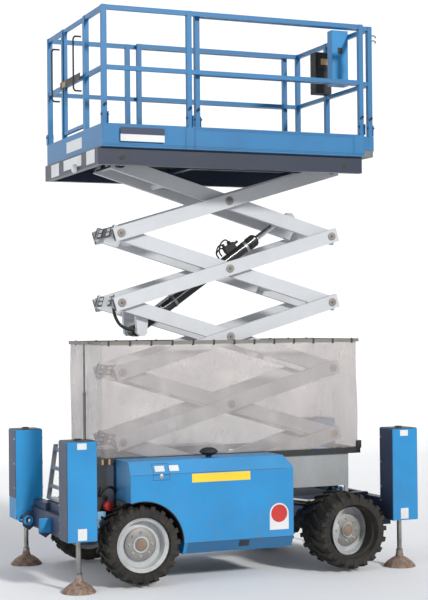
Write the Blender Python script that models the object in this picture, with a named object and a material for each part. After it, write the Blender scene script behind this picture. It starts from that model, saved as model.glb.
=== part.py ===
"""Scissor lift with four outriggers, five scissor levels and a guard curtain. Metres, +Z up, X along."""
import math

import bmesh
import bpy
from mathutils import Matrix, Vector

# ---- driving sizes -------------------------------------------------------------------------
REAR_X = -0.945
FRONT_X = 0.908
WHEEL_Z = 0.35
WHEEL_R = 0.33
WHEEL_Y = 0.712
TYRE_BORE = 0.2055
SPINDLE_R = 0.055
KING_Y = 0.50
STEER_REST = 14.0

RAIL_IN = 0.31
RAIL_OUT = 0.37
RAIL_LOW = 0.44
RAIL_TOP = 0.62
RAIL_END = 1.40

LEVELS = 5
ARM_HALF = 1.05
REST_ANGLE = 16.48
PIN_LEFT = -0.92
PIN_BASE = 0.556
ARM_DEPTH = 0.12
ARM_END = 0.063
A_IN = 0.245
A_OUT = 0.295
B_IN = 0.19
B_OUT = 0.24
PIN_R = 0.025
PIN_GAP = 0.0007
TUBE_R = 0.035

BARREL_EYE = (-0.70, 2.10)
ROD_EYE = (0.72, 3.10)
BARREL_R = 0.05
ROD_R = 0.025
BARREL_END = 1.41
ROD_LENGTH = 1.345

JACK_X = 1.48
JACK_Y = 0.785
JACK_W = 0.245
JACK_D = 0.23
JACK_LOW = 0.42
JACK_TOP = 1.22
PAD_R = 0.14
LEG_R = 0.021

TRAY_LEFT = -1.05
TRAY_RIGHT = 0.416
TRAY_OUT = 0.845
TRAY_IN = 0.47
TRAY_LOW = 0.25
TRAY_TOP = 1.03
ARCH_R = 0.36

CURTAIN_LEFT = -1.165
CURTAIN_RIGHT = 1.262
CURTAIN_Y = 0.455
CURTAIN_LOW = 1.0365
GUARD_TOP = 2.015
GUARD_POST_Y = -0.10

FLOOR_LOW = 3.635
FLOOR_TOP = 3.65
FRAME_LOW = 3.465
FRAME_TOP = 3.605
TOE_TOP = 3.80
RAIL_HIGH = 4.77
RAIL_MID = 4.26
DECK_LEFT = -1.247
DECK_RIGHT = 1.165
DECK_Y = 0.79
POST = 0.042
EXT_LEFT = -0.42
EXT_RIGHT = 1.293
EXT_Y = 0.735
GATE_FAR = 0.325
GATE_NEAR = -0.30
SEAT = 0.0003

# ---- derived sizes -------------------------------------------------------------------------
THETA = math.radians(REST_ANGLE)
STEP_Z = 2 * ARM_HALF * math.sin(THETA)
ROLLER_R = 0.026          # slide rollers at the right-hand ends of the lowest and highest arms
SLIM_TUBE_R = 0.016       # the one cross tube of an outer frame, thin enough for the folded stack
LUG_GAP = 0.0015          # the barrel's lugs hang between the bars of the level below
LUG_BLOCK_AT = -0.79      # where a block joins each lug to its bar, along the bar from its middle
KNOB_X = -0.285
KNOB_Y = -0.66
PIN_RIGHT = PIN_LEFT + 2 * ARM_HALF * math.cos(THETA)
PIN_MID = (PIN_LEFT + PIN_RIGHT) / 2
TOP_PIN = PIN_BASE + LEVELS * STEP_Z

# ---- materials -----------------------------------------------------------------------------
PAINTS = {
    "body_blue": (0.030, 0.290, 0.660, 0.0, 0.38),
    "frame_navy": (0.020, 0.036, 0.070, 0.0, 0.5),
    "arm_grey": (0.60, 0.63, 0.65, 0.0, 0.45),
    "panel_grey": (0.50, 0.49, 0.47, 0.0, 0.55),
    "tyre_rubber": (0.045, 0.040, 0.036, 0.0, 0.9),
    "rim_silver": (0.45, 0.46, 0.47, 0.0, 0.45),
    "chrome_rod": (0.75, 0.76, 0.78, 1.0, 0.12),
    "black_paint": (0.012, 0.012, 0.013, 0.0, 0.45),
    "pad_steel": (0.22, 0.16, 0.12, 0.6, 0.65),
    "curtain_vinyl": (0.48, 0.46, 0.45, 0.0, 0.5),
    "deck_grey": (0.32, 0.33, 0.34, 0.6, 0.55),
    "ladder_grey": (0.56, 0.57, 0.56, 0.0, 0.5),
}


def paint(name):
    """The plain Principled material of one paint or metal."""
    found = bpy.data.materials.get(name)
    if found:
        return found
    red, green, blue, metal, rough = PAINTS[name]
    mat = bpy.data.materials.new(name)
    mat.use_nodes = True
    shader = mat.node_tree.nodes["Principled BSDF"]
    shader.inputs["Base Color"].default_value = (red, green, blue, 1.0)
    shader.inputs["Metallic"].default_value = metal
    shader.inputs["Roughness"].default_value = rough
    mat.diffuse_color = (red, green, blue, 1.0)
    return mat


# ---- solids --------------------------------------------------------------------------------
def box(x0, x1, y0, y1, z0, z1):
    """A block between two corners."""
    bm = bmesh.new()
    bmesh.ops.create_cube(bm, size=1.0)
    size = Matrix.Diagonal((abs(x1 - x0), abs(y1 - y0), abs(z1 - z0), 1.0))
    place = Matrix.Translation(((x0 + x1) / 2, (y0 + y1) / 2, (z0 + z1) / 2))
    bmesh.ops.transform(bm, matrix=place @ size, verts=bm.verts)
    return bm


def rod(p, q, radius, sides=16, end_radius=None):
    """A round bar, or a cone, between two points."""
    p = Vector(p)
    q = Vector(q)
    bm = bmesh.new()
    tip = radius if end_radius is None else end_radius
    bmesh.ops.create_cone(
        bm, cap_ends=True, segments=sides, radius1=radius, radius2=tip, depth=(q - p).length
    )
    turn = Vector((0, 0, 1)).rotation_difference(q - p).to_matrix().to_4x4()
    bmesh.ops.transform(bm, matrix=Matrix.Translation((p + q) / 2) @ turn, verts=bm.verts)
    return bm


def prism(points, axis, low, high):
    """A flat outline drawn out along one axis: outline in XZ for y, YZ for x, XY for z."""
    bm = bmesh.new()
    put = {
        "y": lambda a, b, c: (a, c, b),
        "x": lambda a, b, c: (c, a, b),
        "z": lambda a, b, c: (a, b, c),
    }[axis]
    base = [bm.verts.new(put(a, b, low)) for a, b in points]
    face = bm.faces.new(base)
    grown = bmesh.ops.extrude_face_region(bm, geom=[face])
    moved = [v for v in grown["geom"] if isinstance(v, bmesh.types.BMVert)]
    shift = Vector(put(0, 0, high)) - Vector(put(0, 0, low))
    bmesh.ops.translate(bm, verts=moved, vec=shift)
    bmesh.ops.recalc_face_normals(bm, faces=bm.faces)
    return bm


def turned(profile, sides, place):
    """A closed outline of (radius, height) turned a full circle about Z, then placed."""
    bm = bmesh.new()
    rings = []
    for k in range(sides):
        a = 2 * math.pi * k / sides
        ring = [bm.verts.new((r * math.cos(a), r * math.sin(a), z)) for r, z in profile]
        rings.append(ring)
    count = len(profile)
    for k in range(sides):
        one = rings[k]
        two = rings[(k + 1) % sides]
        for i in range(count):
            j = (i + 1) % count
            if profile[i][0] > 0 or profile[j][0] > 0:
                bm.faces.new((one[i], two[i], two[j], one[j]))
    bmesh.ops.remove_doubles(bm, verts=bm.verts, dist=1e-6)
    bmesh.ops.dissolve_degenerate(bm, edges=bm.edges, dist=1e-7)
    bmesh.ops.recalc_face_normals(bm, faces=bm.faces)
    bmesh.ops.transform(bm, matrix=place, verts=bm.verts)
    return bm


def loose(bm):
    """A mesh object from a solid."""
    mesh = bpy.data.meshes.new("solid")
    bm.to_mesh(mesh)
    bm.free()
    obj = bpy.data.objects.new("solid", mesh)
    bpy.context.scene.collection.objects.link(obj)
    return obj


def combine(base, others, operation):
    """The base object with the other solids joined to it or cut out of it."""
    if not others:
        return base
    group = bpy.data.collections.new("operands")
    bpy.context.scene.collection.children.link(group)
    objs = [loose(bm) for bm in others]
    for obj in objs:
        bpy.context.scene.collection.objects.unlink(obj)
        group.objects.link(obj)
    mod = base.modifiers.new("combine", "BOOLEAN")
    mod.operation = operation
    mod.solver = "EXACT"
    mod.operand_type = "COLLECTION"
    mod.collection = group
    bpy.context.view_layer.update()
    graph = bpy.context.evaluated_depsgraph_get()
    done = bpy.data.meshes.new_from_object(base.evaluated_get(graph))
    base.modifiers.clear()
    base.data = done
    for obj in objs:
        bpy.data.objects.remove(obj)
    bpy.data.collections.remove(group)
    return base


def piece(name, paint_name, solids, cuts=(), origin=(0, 0, 0), turn=None):
    """One named sub-part: its solids joined, its cuts taken out, its origin on its own axis."""
    solids = list(solids)
    obj = combine(loose(solids[0]), solids[1:], "UNION")
    obj = combine(obj, list(cuts), "DIFFERENCE")
    bm = bmesh.new()
    bm.from_mesh(obj.data)
    bmesh.ops.remove_doubles(bm, verts=bm.verts, dist=1e-5)
    bmesh.ops.dissolve_limit(
        bm, angle_limit=0.0005, verts=bm.verts, edges=bm.edges, delimit={"NORMAL"}
    )
    bmesh.ops.triangulate(bm, faces=bm.faces)
    if turn is not None:
        bmesh.ops.transform(bm, matrix=turn, verts=bm.verts)
    bmesh.ops.translate(bm, verts=bm.verts, vec=-Vector(origin))
    bmesh.ops.recalc_face_normals(bm, faces=bm.faces)
    bm.to_mesh(obj.data)
    bm.free()
    obj.name = name
    obj.data.name = name
    obj.data.materials.clear()
    obj.data.materials.append(paint(paint_name))
    obj.location = origin
    return obj


def about_z(pivot, degrees):
    """A turn about an upright axis through a point."""
    there = Matrix.Translation(Vector(pivot))
    return there @ Matrix.Rotation(math.radians(degrees), 4, "Z") @ there.inverted()


def mirrored(points):
    """The same outline with its first coordinate the other way round."""
    return [(-a, b) for a, b in points]


# ---- wheels and axles ----------------------------------------------------------------------
TYRE_PROFILE = [
    (TYRE_BORE, -0.117), (0.2275, -0.117), (0.2500, -0.149), (0.2850, -0.155), (0.3160, -0.143),
    (WHEEL_R, -0.095), (WHEEL_R, 0.095), (0.3160, 0.143), (0.2850, 0.155), (0.2500, 0.149),
    (0.2275, 0.117), (TYRE_BORE, 0.117),
]
RIM_PROFILE = [
    (0.0, -0.030), (SPINDLE_R + 0.022, -0.030), (SPINDLE_R + 0.022, 0.010), (0.186, 0.020),
    (0.196, -0.115), (0.2200, -0.1250), (0.2260, -0.1250), (0.2260, -0.1175), (0.2050, -0.1175),
    (0.2050, 0.1175), (0.2260, 0.1175), (0.2260, 0.1250), (0.2200, 0.1250), (0.196, 0.108),
    (0.190, 0.040), (0.078, 0.050), (0.066, 0.078), (0.0, 0.080),
]


def wheel(name, x, side, steer):
    """A tyre and its rim, turned with the steering, on one wheel centre."""
    out = Matrix.Rotation(math.radians(90 * -side), 4, "X")
    centre = Vector((x, side * WHEEL_Y, WHEEL_Z))
    turn = None
    if steer:
        turn = about_z((x, side * KING_Y, WHEEL_Z), STEER_REST)
        hub = turn @ centre
    else:
        hub = centre
    place = Matrix.Translation(centre) @ out
    tyre = [(r, z) for r, z in TYRE_PROFILE]
    piece("tyre_" + name, "tyre_rubber", [turned(tyre, 36, place)], (), hub, turn)
    bore_in = centre - Vector((0, side * 0.10, 0))
    bore_end = centre + Vector((0, side * 0.032, 0))
    bore = rod(bore_in, bore_end, SPINDLE_R + 0.0015, 24)
    piece("rim_" + name, "rim_silver", [turned(RIM_PROFILE, 36, place)], [bore], hub, turn)


WHEELS = [
    ("rear_near", REAR_X, -1, False),
    ("rear_far", REAR_X, 1, False),
    ("front_near", FRONT_X, -1, True),
    ("front_far", FRONT_X, 1, True),
]
# outward end of a spindle, measured from the wheel's middle plane
SPINDLE_TIP = 0.026


def axles():
    """The fixed drive axle, the steering axle beam and its two knuckles."""
    tip = WHEEL_Y + SPINDLE_TIP
    solids = [
        rod((REAR_X, -tip, WHEEL_Z), (REAR_X, tip, WHEEL_Z), SPINDLE_R, 24),
        rod((REAR_X, -0.54, WHEEL_Z), (REAR_X, 0.54, WHEEL_Z), 0.075, 24),
        rod((REAR_X, -0.15, WHEEL_Z), (REAR_X, 0.15, WHEEL_Z), 0.084, 24),
        box(REAR_X - 0.05, REAR_X + 0.05, -0.365, -0.315, WHEEL_Z, RAIL_LOW - SEAT),
        box(REAR_X - 0.05, REAR_X + 0.05, 0.315, 0.365, WHEEL_Z, RAIL_LOW - SEAT),
    ]
    piece("drive_axle", "frame_navy", solids, (), (REAR_X, 0, WHEEL_Z))
    low = WHEEL_Z - 0.13
    high = WHEEL_Z + 0.13
    solids = [
        box(FRONT_X - 0.07, FRONT_X + 0.07, -0.425, 0.425, WHEEL_Z - 0.06, WHEEL_Z + 0.06),
        box(FRONT_X - 0.05, FRONT_X + 0.05, -0.365, -0.315, WHEEL_Z, RAIL_LOW - SEAT),
        box(FRONT_X - 0.05, FRONT_X + 0.05, 0.315, 0.365, WHEEL_Z, RAIL_LOW - SEAT),
    ]
    for side in (-1, 1):
        y0 = side * 0.395
        solids.append(box(FRONT_X - 0.05, FRONT_X + 0.05, y0, side * 0.425, low + 0.03, high - 0.03))
        solids.append(box(FRONT_X - 0.05, FRONT_X + 0.05, y0, side * 0.53, low + 0.025, low + 0.05))
        solids.append(box(FRONT_X - 0.05, FRONT_X + 0.05, y0, side * 0.53, high - 0.05, high - 0.025))
        pin = (FRONT_X, side * KING_Y)
        solids.append(rod((*pin, low + 0.02), (*pin, high - 0.02), 0.022, 16))
    piece("steer_axle", "frame_navy", solids, (), (FRONT_X, 0, WHEEL_Z))
    for name, side in (("near", -1), ("far", 1)):
        pivot = (FRONT_X, side * KING_Y, WHEEL_Z)
        inner = side * (WHEEL_Y + SPINDLE_TIP)
        solids = [
            rod((FRONT_X, side * KING_Y, low + 0.056), (FRONT_X, side * KING_Y, high - 0.056), 0.042, 24),
            rod((FRONT_X, side * KING_Y, WHEEL_Z), (FRONT_X, inner, WHEEL_Z), SPINDLE_R, 24),
            rod((FRONT_X, side * 0.525, WHEEL_Z), (FRONT_X, side * 0.60, WHEEL_Z), 0.072, 24),
        ]
        bore = rod((FRONT_X, side * KING_Y, low), (FRONT_X, side * KING_Y, high), 0.0229, 16)
        turn = about_z(pivot, STEER_REST)
        piece("knuckle_" + name, "frame_navy", solids, [bore], pivot, turn)


# ---- chassis -------------------------------------------------------------------------------
def chassis():
    """Two long rails, their cross beams, the arm pivots, the slide ledges and the end beams."""
    solids = []
    for side in (-1, 1):
        y0 = side * RAIL_IN
        y1 = side * RAIL_OUT
        solids.append(box(-RAIL_END, RAIL_END, y0, y1, RAIL_LOW, RAIL_TOP))
        ledge = PIN_BASE - 0.0265
        solids.append(box(0.05, 1.25, side * 0.25, side * (RAIL_IN + 0.01), ledge - 0.03, ledge))
        lug = [
            (PIN_LEFT - 0.05, 0.445), (PIN_LEFT + 0.05, 0.445), (PIN_LEFT + 0.04, PIN_BASE + 0.02),
            (PIN_LEFT + 0.02, PIN_BASE + 0.04), (PIN_LEFT - 0.02, PIN_BASE + 0.04),
            (PIN_LEFT - 0.04, PIN_BASE + 0.02),
        ]
        solids.append(prism(lug, "y", side * (B_IN + 0.005), side * (B_OUT - 0.005)))
        solids.append(box(-1.07, -1.045, side * 0.29, side * 0.4695, 0.60, 0.985 - SEAT))
        for x in (0.47, 1.06):
            solids.append(box(x, x + 0.025, side * 0.36, side * 0.385, 0.50, 0.985 - SEAT))
            solids.append(box(x + 0.001, x + 0.024, side * 0.38, side * 0.4297, 0.71, 0.984))
        for end in (-1, 1):
            x0 = end * 1.36
            solids.append(box(x0, end * (JACK_X - 0.04), side * 0.30, side * (JACK_Y - JACK_D / 2 - SEAT), 0.45, 0.60))
    for x in (-RAIL_END, RAIL_END - 0.05):
        solids.append(box(x, x + 0.05, -RAIL_OUT, RAIL_OUT, 0.445, 0.615))
    solids.append(box(PIN_LEFT - 0.10, PIN_LEFT + 0.10, -RAIL_IN - 0.01, RAIL_IN + 0.01, 0.441, 0.462))
    solids.append(box(-0.40, -0.30, -RAIL_IN - 0.01, RAIL_IN + 0.01, 0.445, 0.475))
    solids.append(box(0.45, 0.55, -RAIL_IN - 0.01, RAIL_IN + 0.01, 0.442, 0.462))
    solids.append(box(1.00, 1.10, -RAIL_IN - 0.01, RAIL_IN + 0.01, 0.445, 0.475))
    for end in (-1, 1):
        solids.append(box(end * 1.38, end * 1.46, -JACK_Y + JACK_D / 2 + SEAT, JACK_Y - JACK_D / 2 - SEAT, 0.36, 0.54))
    for y in (0.08, 0.60):
        lug = [(-1.56, 0.46), (-1.52, 0.50), (-1.44, 0.50), (-1.44, 0.38), (-1.50, 0.33), (-1.56, 0.37)]
        solids.append(prism(lug, "y", y, y + 0.018))
    cuts = [rod((PIN_LEFT, -0.3, PIN_BASE), (PIN_LEFT, 0.3, PIN_BASE), PIN_R + PIN_GAP)]
    for y in (0.08, 0.60):
        cuts.append(rod((-1.512, y - 0.01, 0.42), (-1.512, y + 0.03, 0.42), 0.024, 24))
    piece("chassis_frame", "frame_navy", solids, cuts)


def tray_outline(side):
    """Cross-section of a side tray: sloped top, upright face, tucked-in foot."""
    out = TRAY_OUT
    points = [
        (-TRAY_IN, TRAY_LOW), (-out + 0.045, TRAY_LOW), (-out, 0.345), (-out, 0.92),
        (-out + 0.062, TRAY_TOP), (-TRAY_IN, TRAY_TOP),
    ]
    return points if side < 0 else mirrored(points)


def trays():
    """The two long side modules with a round arch over the rear wheel."""
    for name, side in (("near", -1), ("far", 1)):
        solid = prism(tray_outline(side), "x", TRAY_LEFT, TRAY_RIGHT)
        y0 = side * 0.40
        y1 = side * 0.90
        arch = rod((REAR_X, y0, WHEEL_Z), (REAR_X, y1, WHEEL_Z), ARCH_R, 48)
        cuts = [arch]
        cuts.append(box(TRAY_LEFT - 0.1, REAR_X + 0.001, y0, y1, 0.1, WHEEL_Z + ARCH_R - 0.012))
        cuts.append(box(REAR_X - 0.01, REAR_X + ARCH_R, y0, y1, 0.1, WHEEL_Z))
        top = [(TRAY_RIGHT - 0.07, 1.10), (TRAY_RIGHT - 0.07, TRAY_TOP + 0.001), (TRAY_RIGHT + 0.001, 0.94)]
        top.append((TRAY_RIGHT + 0.1, 0.94))
        top.append((TRAY_RIGHT + 0.1, 1.10))
        cuts.append(prism(top, "y", y0, y1))
        foot = [(TRAY_RIGHT - 0.056, 0.2), (TRAY_RIGHT - 0.056, TRAY_LOW - 0.001), (TRAY_RIGHT + 0.001, 0.35)]
        foot.append((TRAY_RIGHT + 0.1, 0.35))
        foot.append((TRAY_RIGHT + 0.1, 0.2))
        cuts.append(prism(foot, "y", y0, y1))
        solids = [solid, box(-0.70, 0.30, side * (RAIL_OUT + SEAT), side * (TRAY_IN + 0.01), 0.46, 0.60)]
        if side < 0:
            solids.append(rod((KNOB_X, KNOB_Y, TRAY_TOP - 0.01), (KNOB_X, KNOB_Y, 1.06), 0.025, 24))
            solids.append(rod((KNOB_X, KNOB_Y, 1.05), (KNOB_X, KNOB_Y, 1.075), 0.05, 20, 0.078))
            solids.append(rod((KNOB_X, KNOB_Y, 1.0745), (KNOB_X, KNOB_Y, 1.105), 0.078, 20, 0.045))
        piece("tray_" + name, "body_blue", solids, cuts)
        panel = [box(0.46, 1.16, side * 0.43, side * 0.445, 0.70, 0.9847)]
        piece("side_panel_" + name, "panel_grey", panel)
    engine = [box(-0.66, 0.30, -0.16, 0.16, 0.26, 0.41), box(-0.30, 0.10, -0.28, 0.28, 0.28, 0.40)]
    engine.append(box(-0.38, -0.32, -0.10, 0.10, 0.40, 0.445 - SEAT))
    piece("power_block", "black_paint", engine)
    pump = [box(-1.27, -1.12, -0.46, -0.375, 0.47, 0.72), rod((-1.20, -0.42, 0.70), (-1.20, -0.42, 0.80), 0.03, 24)]
    pump.append(box(-1.25, -1.14, -0.42, -0.371, 0.50, 0.60))
    piece("valve_block", "black_paint", pump, (), (-1.2, -0.42, 0.6))
    rungs = []
    for y in (0.06, 0.44):
        side_outline = [(-1.345, 0.62 + SEAT), (-1.38, 0.62 + SEAT), (-1.31, 1.10), (-1.275, 1.10)]
        rungs.append(prism(side_outline, "y", y, y + 0.03))
    for k in range(3):
        z = 0.72 + 0.16 * k
        x = -1.350 + 0.115 * (z - 0.62)
        rungs.append(box(x - 0.012, x + 0.012, 0.08, 0.45, z, z + 0.03))
    rungs.append(box(-1.379, -1.30, 0.07, 0.46, 0.62 + SEAT, 0.635))
    piece("entry_ladder", "ladder_grey", rungs)


# ---- outriggers ----------------------------------------------------------------------------
JACKS = [("rear_near", -1, -1), ("rear_far", -1, 1), ("front_near", 1, -1), ("front_far", 1, 1)]


def outriggers():
    """Four upright jack boxes with a sliding leg and a round pad each."""
    for name, end, side in JACKS:
        x = end * JACK_X
        y = side * JACK_Y
        w = JACK_W / 2
        d = JACK_D / 2
        solids = [box(x - w, x + w, y - d, y + d, JACK_LOW, JACK_TOP)]
        if side > 0:
            solids = [box(x - w, x + w, y - d, y + d, 0.60, JACK_TOP)]
            solids.append(box(x - w, x + w * 0.55, y - d + 0.001, y + d - 0.001, JACK_LOW, 0.605))
        bore = rod((x, y, 0.3), (x, y, 1.19), LEG_R + 0.006, 20)
        piece("jack_box_" + name, "body_blue", solids, [bore], (x, y, JACK_LOW))
        pad = [(0, 0), (PAD_R, 0), (PAD_R, 0.010), (0.112, 0.042), (0.07, 0.072), (0.038, 0.088)]
        pad += [(0.030, 0.118), (0.030, 0.150), (LEG_R, 0.158), (LEG_R, 0.90), (0, 0.90)]
        place = Matrix.Translation((x, y, 0))
        piece("jack_leg_" + name, "pad_steel", [turned(pad, 24, place)], (), (x, y, 0))


# ---- scissor arms --------------------------------------------------------------------------
def arm_bar(centre, angle, y0, y1, half=ARM_HALF):
    """One flat bar of an arm, turned to its angle."""
    bm = box(-half - ARM_END, half + ARM_END, y0, y1, -ARM_DEPTH / 2, ARM_DEPTH / 2)
    turn = Matrix.Rotation(-angle, 4, "Y")
    bmesh.ops.transform(bm, matrix=Matrix.Translation(centre) @ turn, verts=bm.verts)
    return bm


def along(centre, angle, s, n=0.0):
    """A point s along an arm and n square to it."""
    x = centre[0] + s * math.cos(angle) - n * math.sin(angle)
    z = centre[2] + s * math.sin(angle) + n * math.cos(angle)
    return x, z


def cross(at, half_width, radius=PIN_R, sides=16):
    """A round bar across the machine through a point."""
    return rod((at[0], -half_width, at[1]), (at[0], half_width, at[1]), radius, sides)


# level, cross tubes of the outer frame, cross tubes of the inner frame, left shaft right across
ARM_TABLE = [
    (1, (), (-0.55, 0.55), True),
    (2, (), (-0.35, 0.55), True),
    (3, (), (0.55,), True),
    (4, (0.525,), (-0.85, 0.55), False),
    (5, (), (-0.55, 0.92), True),
]


def arms():
    """Five pairs of crossed frames: outer bars rise to the right, inner bars fall to the right."""
    for level, outer_tubes, inner_tubes, full_shaft in ARM_TABLE:
        mid = (PIN_MID, 0, PIN_BASE + (level - 0.5) * STEP_Z)
        low = PIN_BASE + (level - 1) * STEP_Z
        high = low + STEP_Z
        left_low = (PIN_LEFT, low)
        left_high = (PIN_LEFT, high)
        right_low = (PIN_RIGHT, low)
        right_high = (PIN_RIGHT, high)
        centre = (mid[0], mid[2])
        head = A_OUT + 0.004
        bars = [arm_bar(mid, THETA, -A_OUT, -A_IN), arm_bar(mid, THETA, A_IN, A_OUT)]
        for side in (-1, 1):
            bars.append(rod((centre[0], side * B_IN, centre[1]), (centre[0], side * head, centre[1]), PIN_R))
            if not full_shaft:
                bars.append(rod((PIN_LEFT, side * B_IN, low), (PIN_LEFT, side * head, low), PIN_R))
        if full_shaft:
            bars.append(cross(left_low, head))
        bars.append(cross(right_high, head))
        for s in outer_tubes:
            bars.append(cross(along(mid, THETA, s), A_IN + 0.01, SLIM_TUBE_R))
        if level == LEVELS:
            for side in (-1, 1):
                y0 = side * (B_IN + 0.005)
                y1 = side * B_OUT
                bars.append(rod((PIN_RIGHT, y0, high), (PIN_RIGHT, y1, high), ROLLER_R, 32))
        piece("outer_arms_%d" % level, "arm_grey", bars, (), mid)
        bars = [arm_bar(mid, -THETA, -B_OUT, -B_IN), arm_bar(mid, -THETA, B_IN, B_OUT)]
        for s in inner_tubes:
            bars.append(cross(along(mid, -THETA, s), B_IN + 0.01, TUBE_R))
        holes = [cross(centre, 0.3, PIN_R + PIN_GAP)]
        if level == 1:
            bars.append(cross(right_low, 0.245))
            for side in (-1, 1):
                y0 = side * (B_OUT - 0.004)
                y1 = side * (RAIL_IN - 0.006)
                bars.append(rod((PIN_RIGHT, y0, low), (PIN_RIGHT, y1, low), ROLLER_R, 32))
        else:
            holes.append(cross(right_low, 0.3, PIN_R + PIN_GAP))
        if level == LEVELS:
            bars.append(cross(left_high, A_OUT))
        else:
            holes.append(cross(left_high, 0.3, PIN_R + PIN_GAP))
        if level == 3:
            ex, ez = BARREL_EYE
            for side in (-1, 1):
                lug = [(ex - 0.06, ez + 0.17), (ex - 0.045, ez - 0.02), (ex - 0.02, ez - 0.045)]
                lug += [(ex + 0.02, ez - 0.045), (ex + 0.045, ez - 0.02), (ex + 0.06, ez + 0.17)]
                bars.append(prism(lug, "y", side * 0.14, side * (B_IN - LUG_GAP)))
                x, z = along(mid, -THETA, LUG_BLOCK_AT)
                bars.append(box(x - 0.035, x + 0.035, side * 0.15, side * (B_IN + 0.01), z - 0.035, z + 0.035))
            bars.append(cross(BARREL_EYE, 0.15))
        if level == 5:
            ex, ez = ROD_EYE
            for side in (-1, 1):
                lug = [(ex - 0.06, ez - 0.06), (ex - 0.05, ez + 0.02), (ex - 0.02, ez + 0.05)]
                lug += [(ex + 0.02, ez + 0.05), (ex + 0.05, ez + 0.02), (ex + 0.06, ez - 0.06)]
                bars.append(prism(lug, "y", side * 0.14, side * (B_IN + 0.01)))
        piece("inner_arms_%d" % level, "arm_grey", bars, holes, mid)


def cylinder():
    """The lift cylinder: a barrel on the third inner frame and a rod that slides in it."""
    ex, ez = BARREL_EYE
    rx, rz = ROD_EYE
    span = math.hypot(rx - ex, rz - ez)
    ux = (rx - ex) / span
    uz = (rz - ez) / span

    def at(s):
        return (ex + ux * s, 0, ez + uz * s)

    solids = [
        rod(at(0.0), at(BARREL_END), BARREL_R, 28),
        rod((ex, -0.06, ez), (ex, 0.06, ez), 0.05, 24),
        rod(at(BARREL_END - 0.07), at(BARREL_END + 0.0005), BARREL_R + 0.008, 28),
    ]
    cuts = [
        rod(at(0.10), at(BARREL_END + 0.05), ROD_R + 0.001, 24),
        rod((ex, -0.1, ez), (ex, 0.1, ez), PIN_R + PIN_GAP),
    ]
    piece("lift_barrel", "black_paint", solids, cuts, (ex, 0, ez))
    solids = [
        rod(at(span - ROD_LENGTH), at(span), ROD_R, 24),
        rod((rx, -0.055, rz), (rx, 0.055, rz), 0.044, 24),
        rod((rx, -0.134, rz), (rx, 0.134, rz), PIN_R),
    ]
    piece("lift_rod", "chrome_rod", solids, (), (rx, 0, rz))


# ---- guard curtain -------------------------------------------------------------------------
def guard():
    """The fixed base ring, the rising top frame with its post, and the curtain between them."""
    x0 = CURTAIN_LEFT - 0.015
    x1 = CURTAIN_RIGHT + 0.013
    y = CURTAIN_Y + 0.006
    solids = [
        box(x0, x1, -y, -y + 0.012, 0.985, 1.035), box(x0, x1, y - 0.012, y, 0.985, 1.035),
        box(x0, x0 + 0.012, -y + 0.001, y - 0.001, 0.985, 1.035),
        box(x1 - 0.012, x1, -y + 0.001, y - 0.001, 0.985, 1.035),
    ]
    solids.append(box(x0 - 0.001, x0 - 0.045, GUARD_POST_Y - 0.05, GUARD_POST_Y - 0.03, 0.99, 1.03))
    solids.append(box(x0 - 0.001, x0 - 0.045, GUARD_POST_Y + 0.03, GUARD_POST_Y + 0.05, 0.99, 1.03))
    solids.append(box(x0 + 0.005, x0 - 0.002, GUARD_POST_Y - 0.05, GUARD_POST_Y + 0.05, 0.99, 1.03))
    solids.append(box(x0 - 0.043, x0 - 0.05, GUARD_POST_Y - 0.05, GUARD_POST_Y + 0.05, 0.99, 1.03))
    for side in (-1, 1):
        solids.append(box(-1.08, -1.05, side * 0.30, side * (y - 0.003), 0.985, 1.02))
        solids.append(box(1.055, 1.09, side * 0.37, side * (y - 0.003), 0.985, 1.02))
    piece("guard_base", "black_paint", solids)
    z0 = GUARD_TOP - 0.03
    y = CURTAIN_Y
    r0 = CURTAIN_LEFT
    r1 = CURTAIN_RIGHT + 0.008
    solids = [
        box(r0, r1, -y - 0.004, -y + 0.004, z0, GUARD_TOP), box(r0, r1, y - 0.004, y + 0.004, z0, GUARD_TOP),
        box(r0, r0 + 0.016, -y, y, z0 + 0.001, GUARD_TOP - 0.001),
        box(r1 - 0.016, r1, -y, y, z0 + 0.001, GUARD_TOP - 0.001),
        box(r0 - 0.06, r0 + 0.01, GUARD_POST_Y - 0.02, GUARD_POST_Y + 0.02, z0 + 0.005, GUARD_TOP - 0.005),
    ]
    px = x0 - 0.022
    solids.append(rod((px, GUARD_POST_Y, 1.55), (px, GUARD_POST_Y, GUARD_TOP - 0.006), 0.008, 20))
    solids.append(rod((px, GUARD_POST_Y, 1.10), (px, GUARD_POST_Y, 1.56), 0.013, 20))
    solids.append(rod((px, GUARD_POST_Y, 1.545), (px, GUARD_POST_Y, 1.575), 0.017, 20))
    piece("guard_rail", "frame_navy", solids, (), (px, GUARD_POST_Y, GUARD_TOP))
    t = 0.002
    y = CURTAIN_Y
    high = z0 - SEAT
    outer = box(r0, CURTAIN_RIGHT, -y - t, y + t, CURTAIN_LOW, high)
    inner = box(r0 + 2 * t, CURTAIN_RIGHT - 2 * t, -y + t, y - t, CURTAIN_LOW - 0.1, high + 0.1)
    piece("guard_curtain", "curtain_vinyl", [outer], [inner], (0, 0, CURTAIN_LOW))


# ---- platform ------------------------------------------------------------------------------
def rails(posts, bars, boards):
    """Railing solids from three tables: posts (x, y, low, high), bars and boards (box corners)."""
    h = POST / 2
    solids = [box(x - h, x + h, y - h, y + h, z0, z1) for x, y, z0, z1 in posts]
    solids += [box(*corners) for corners in bars]
    solids += [box(*corners) for corners in boards]
    return solids


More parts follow.
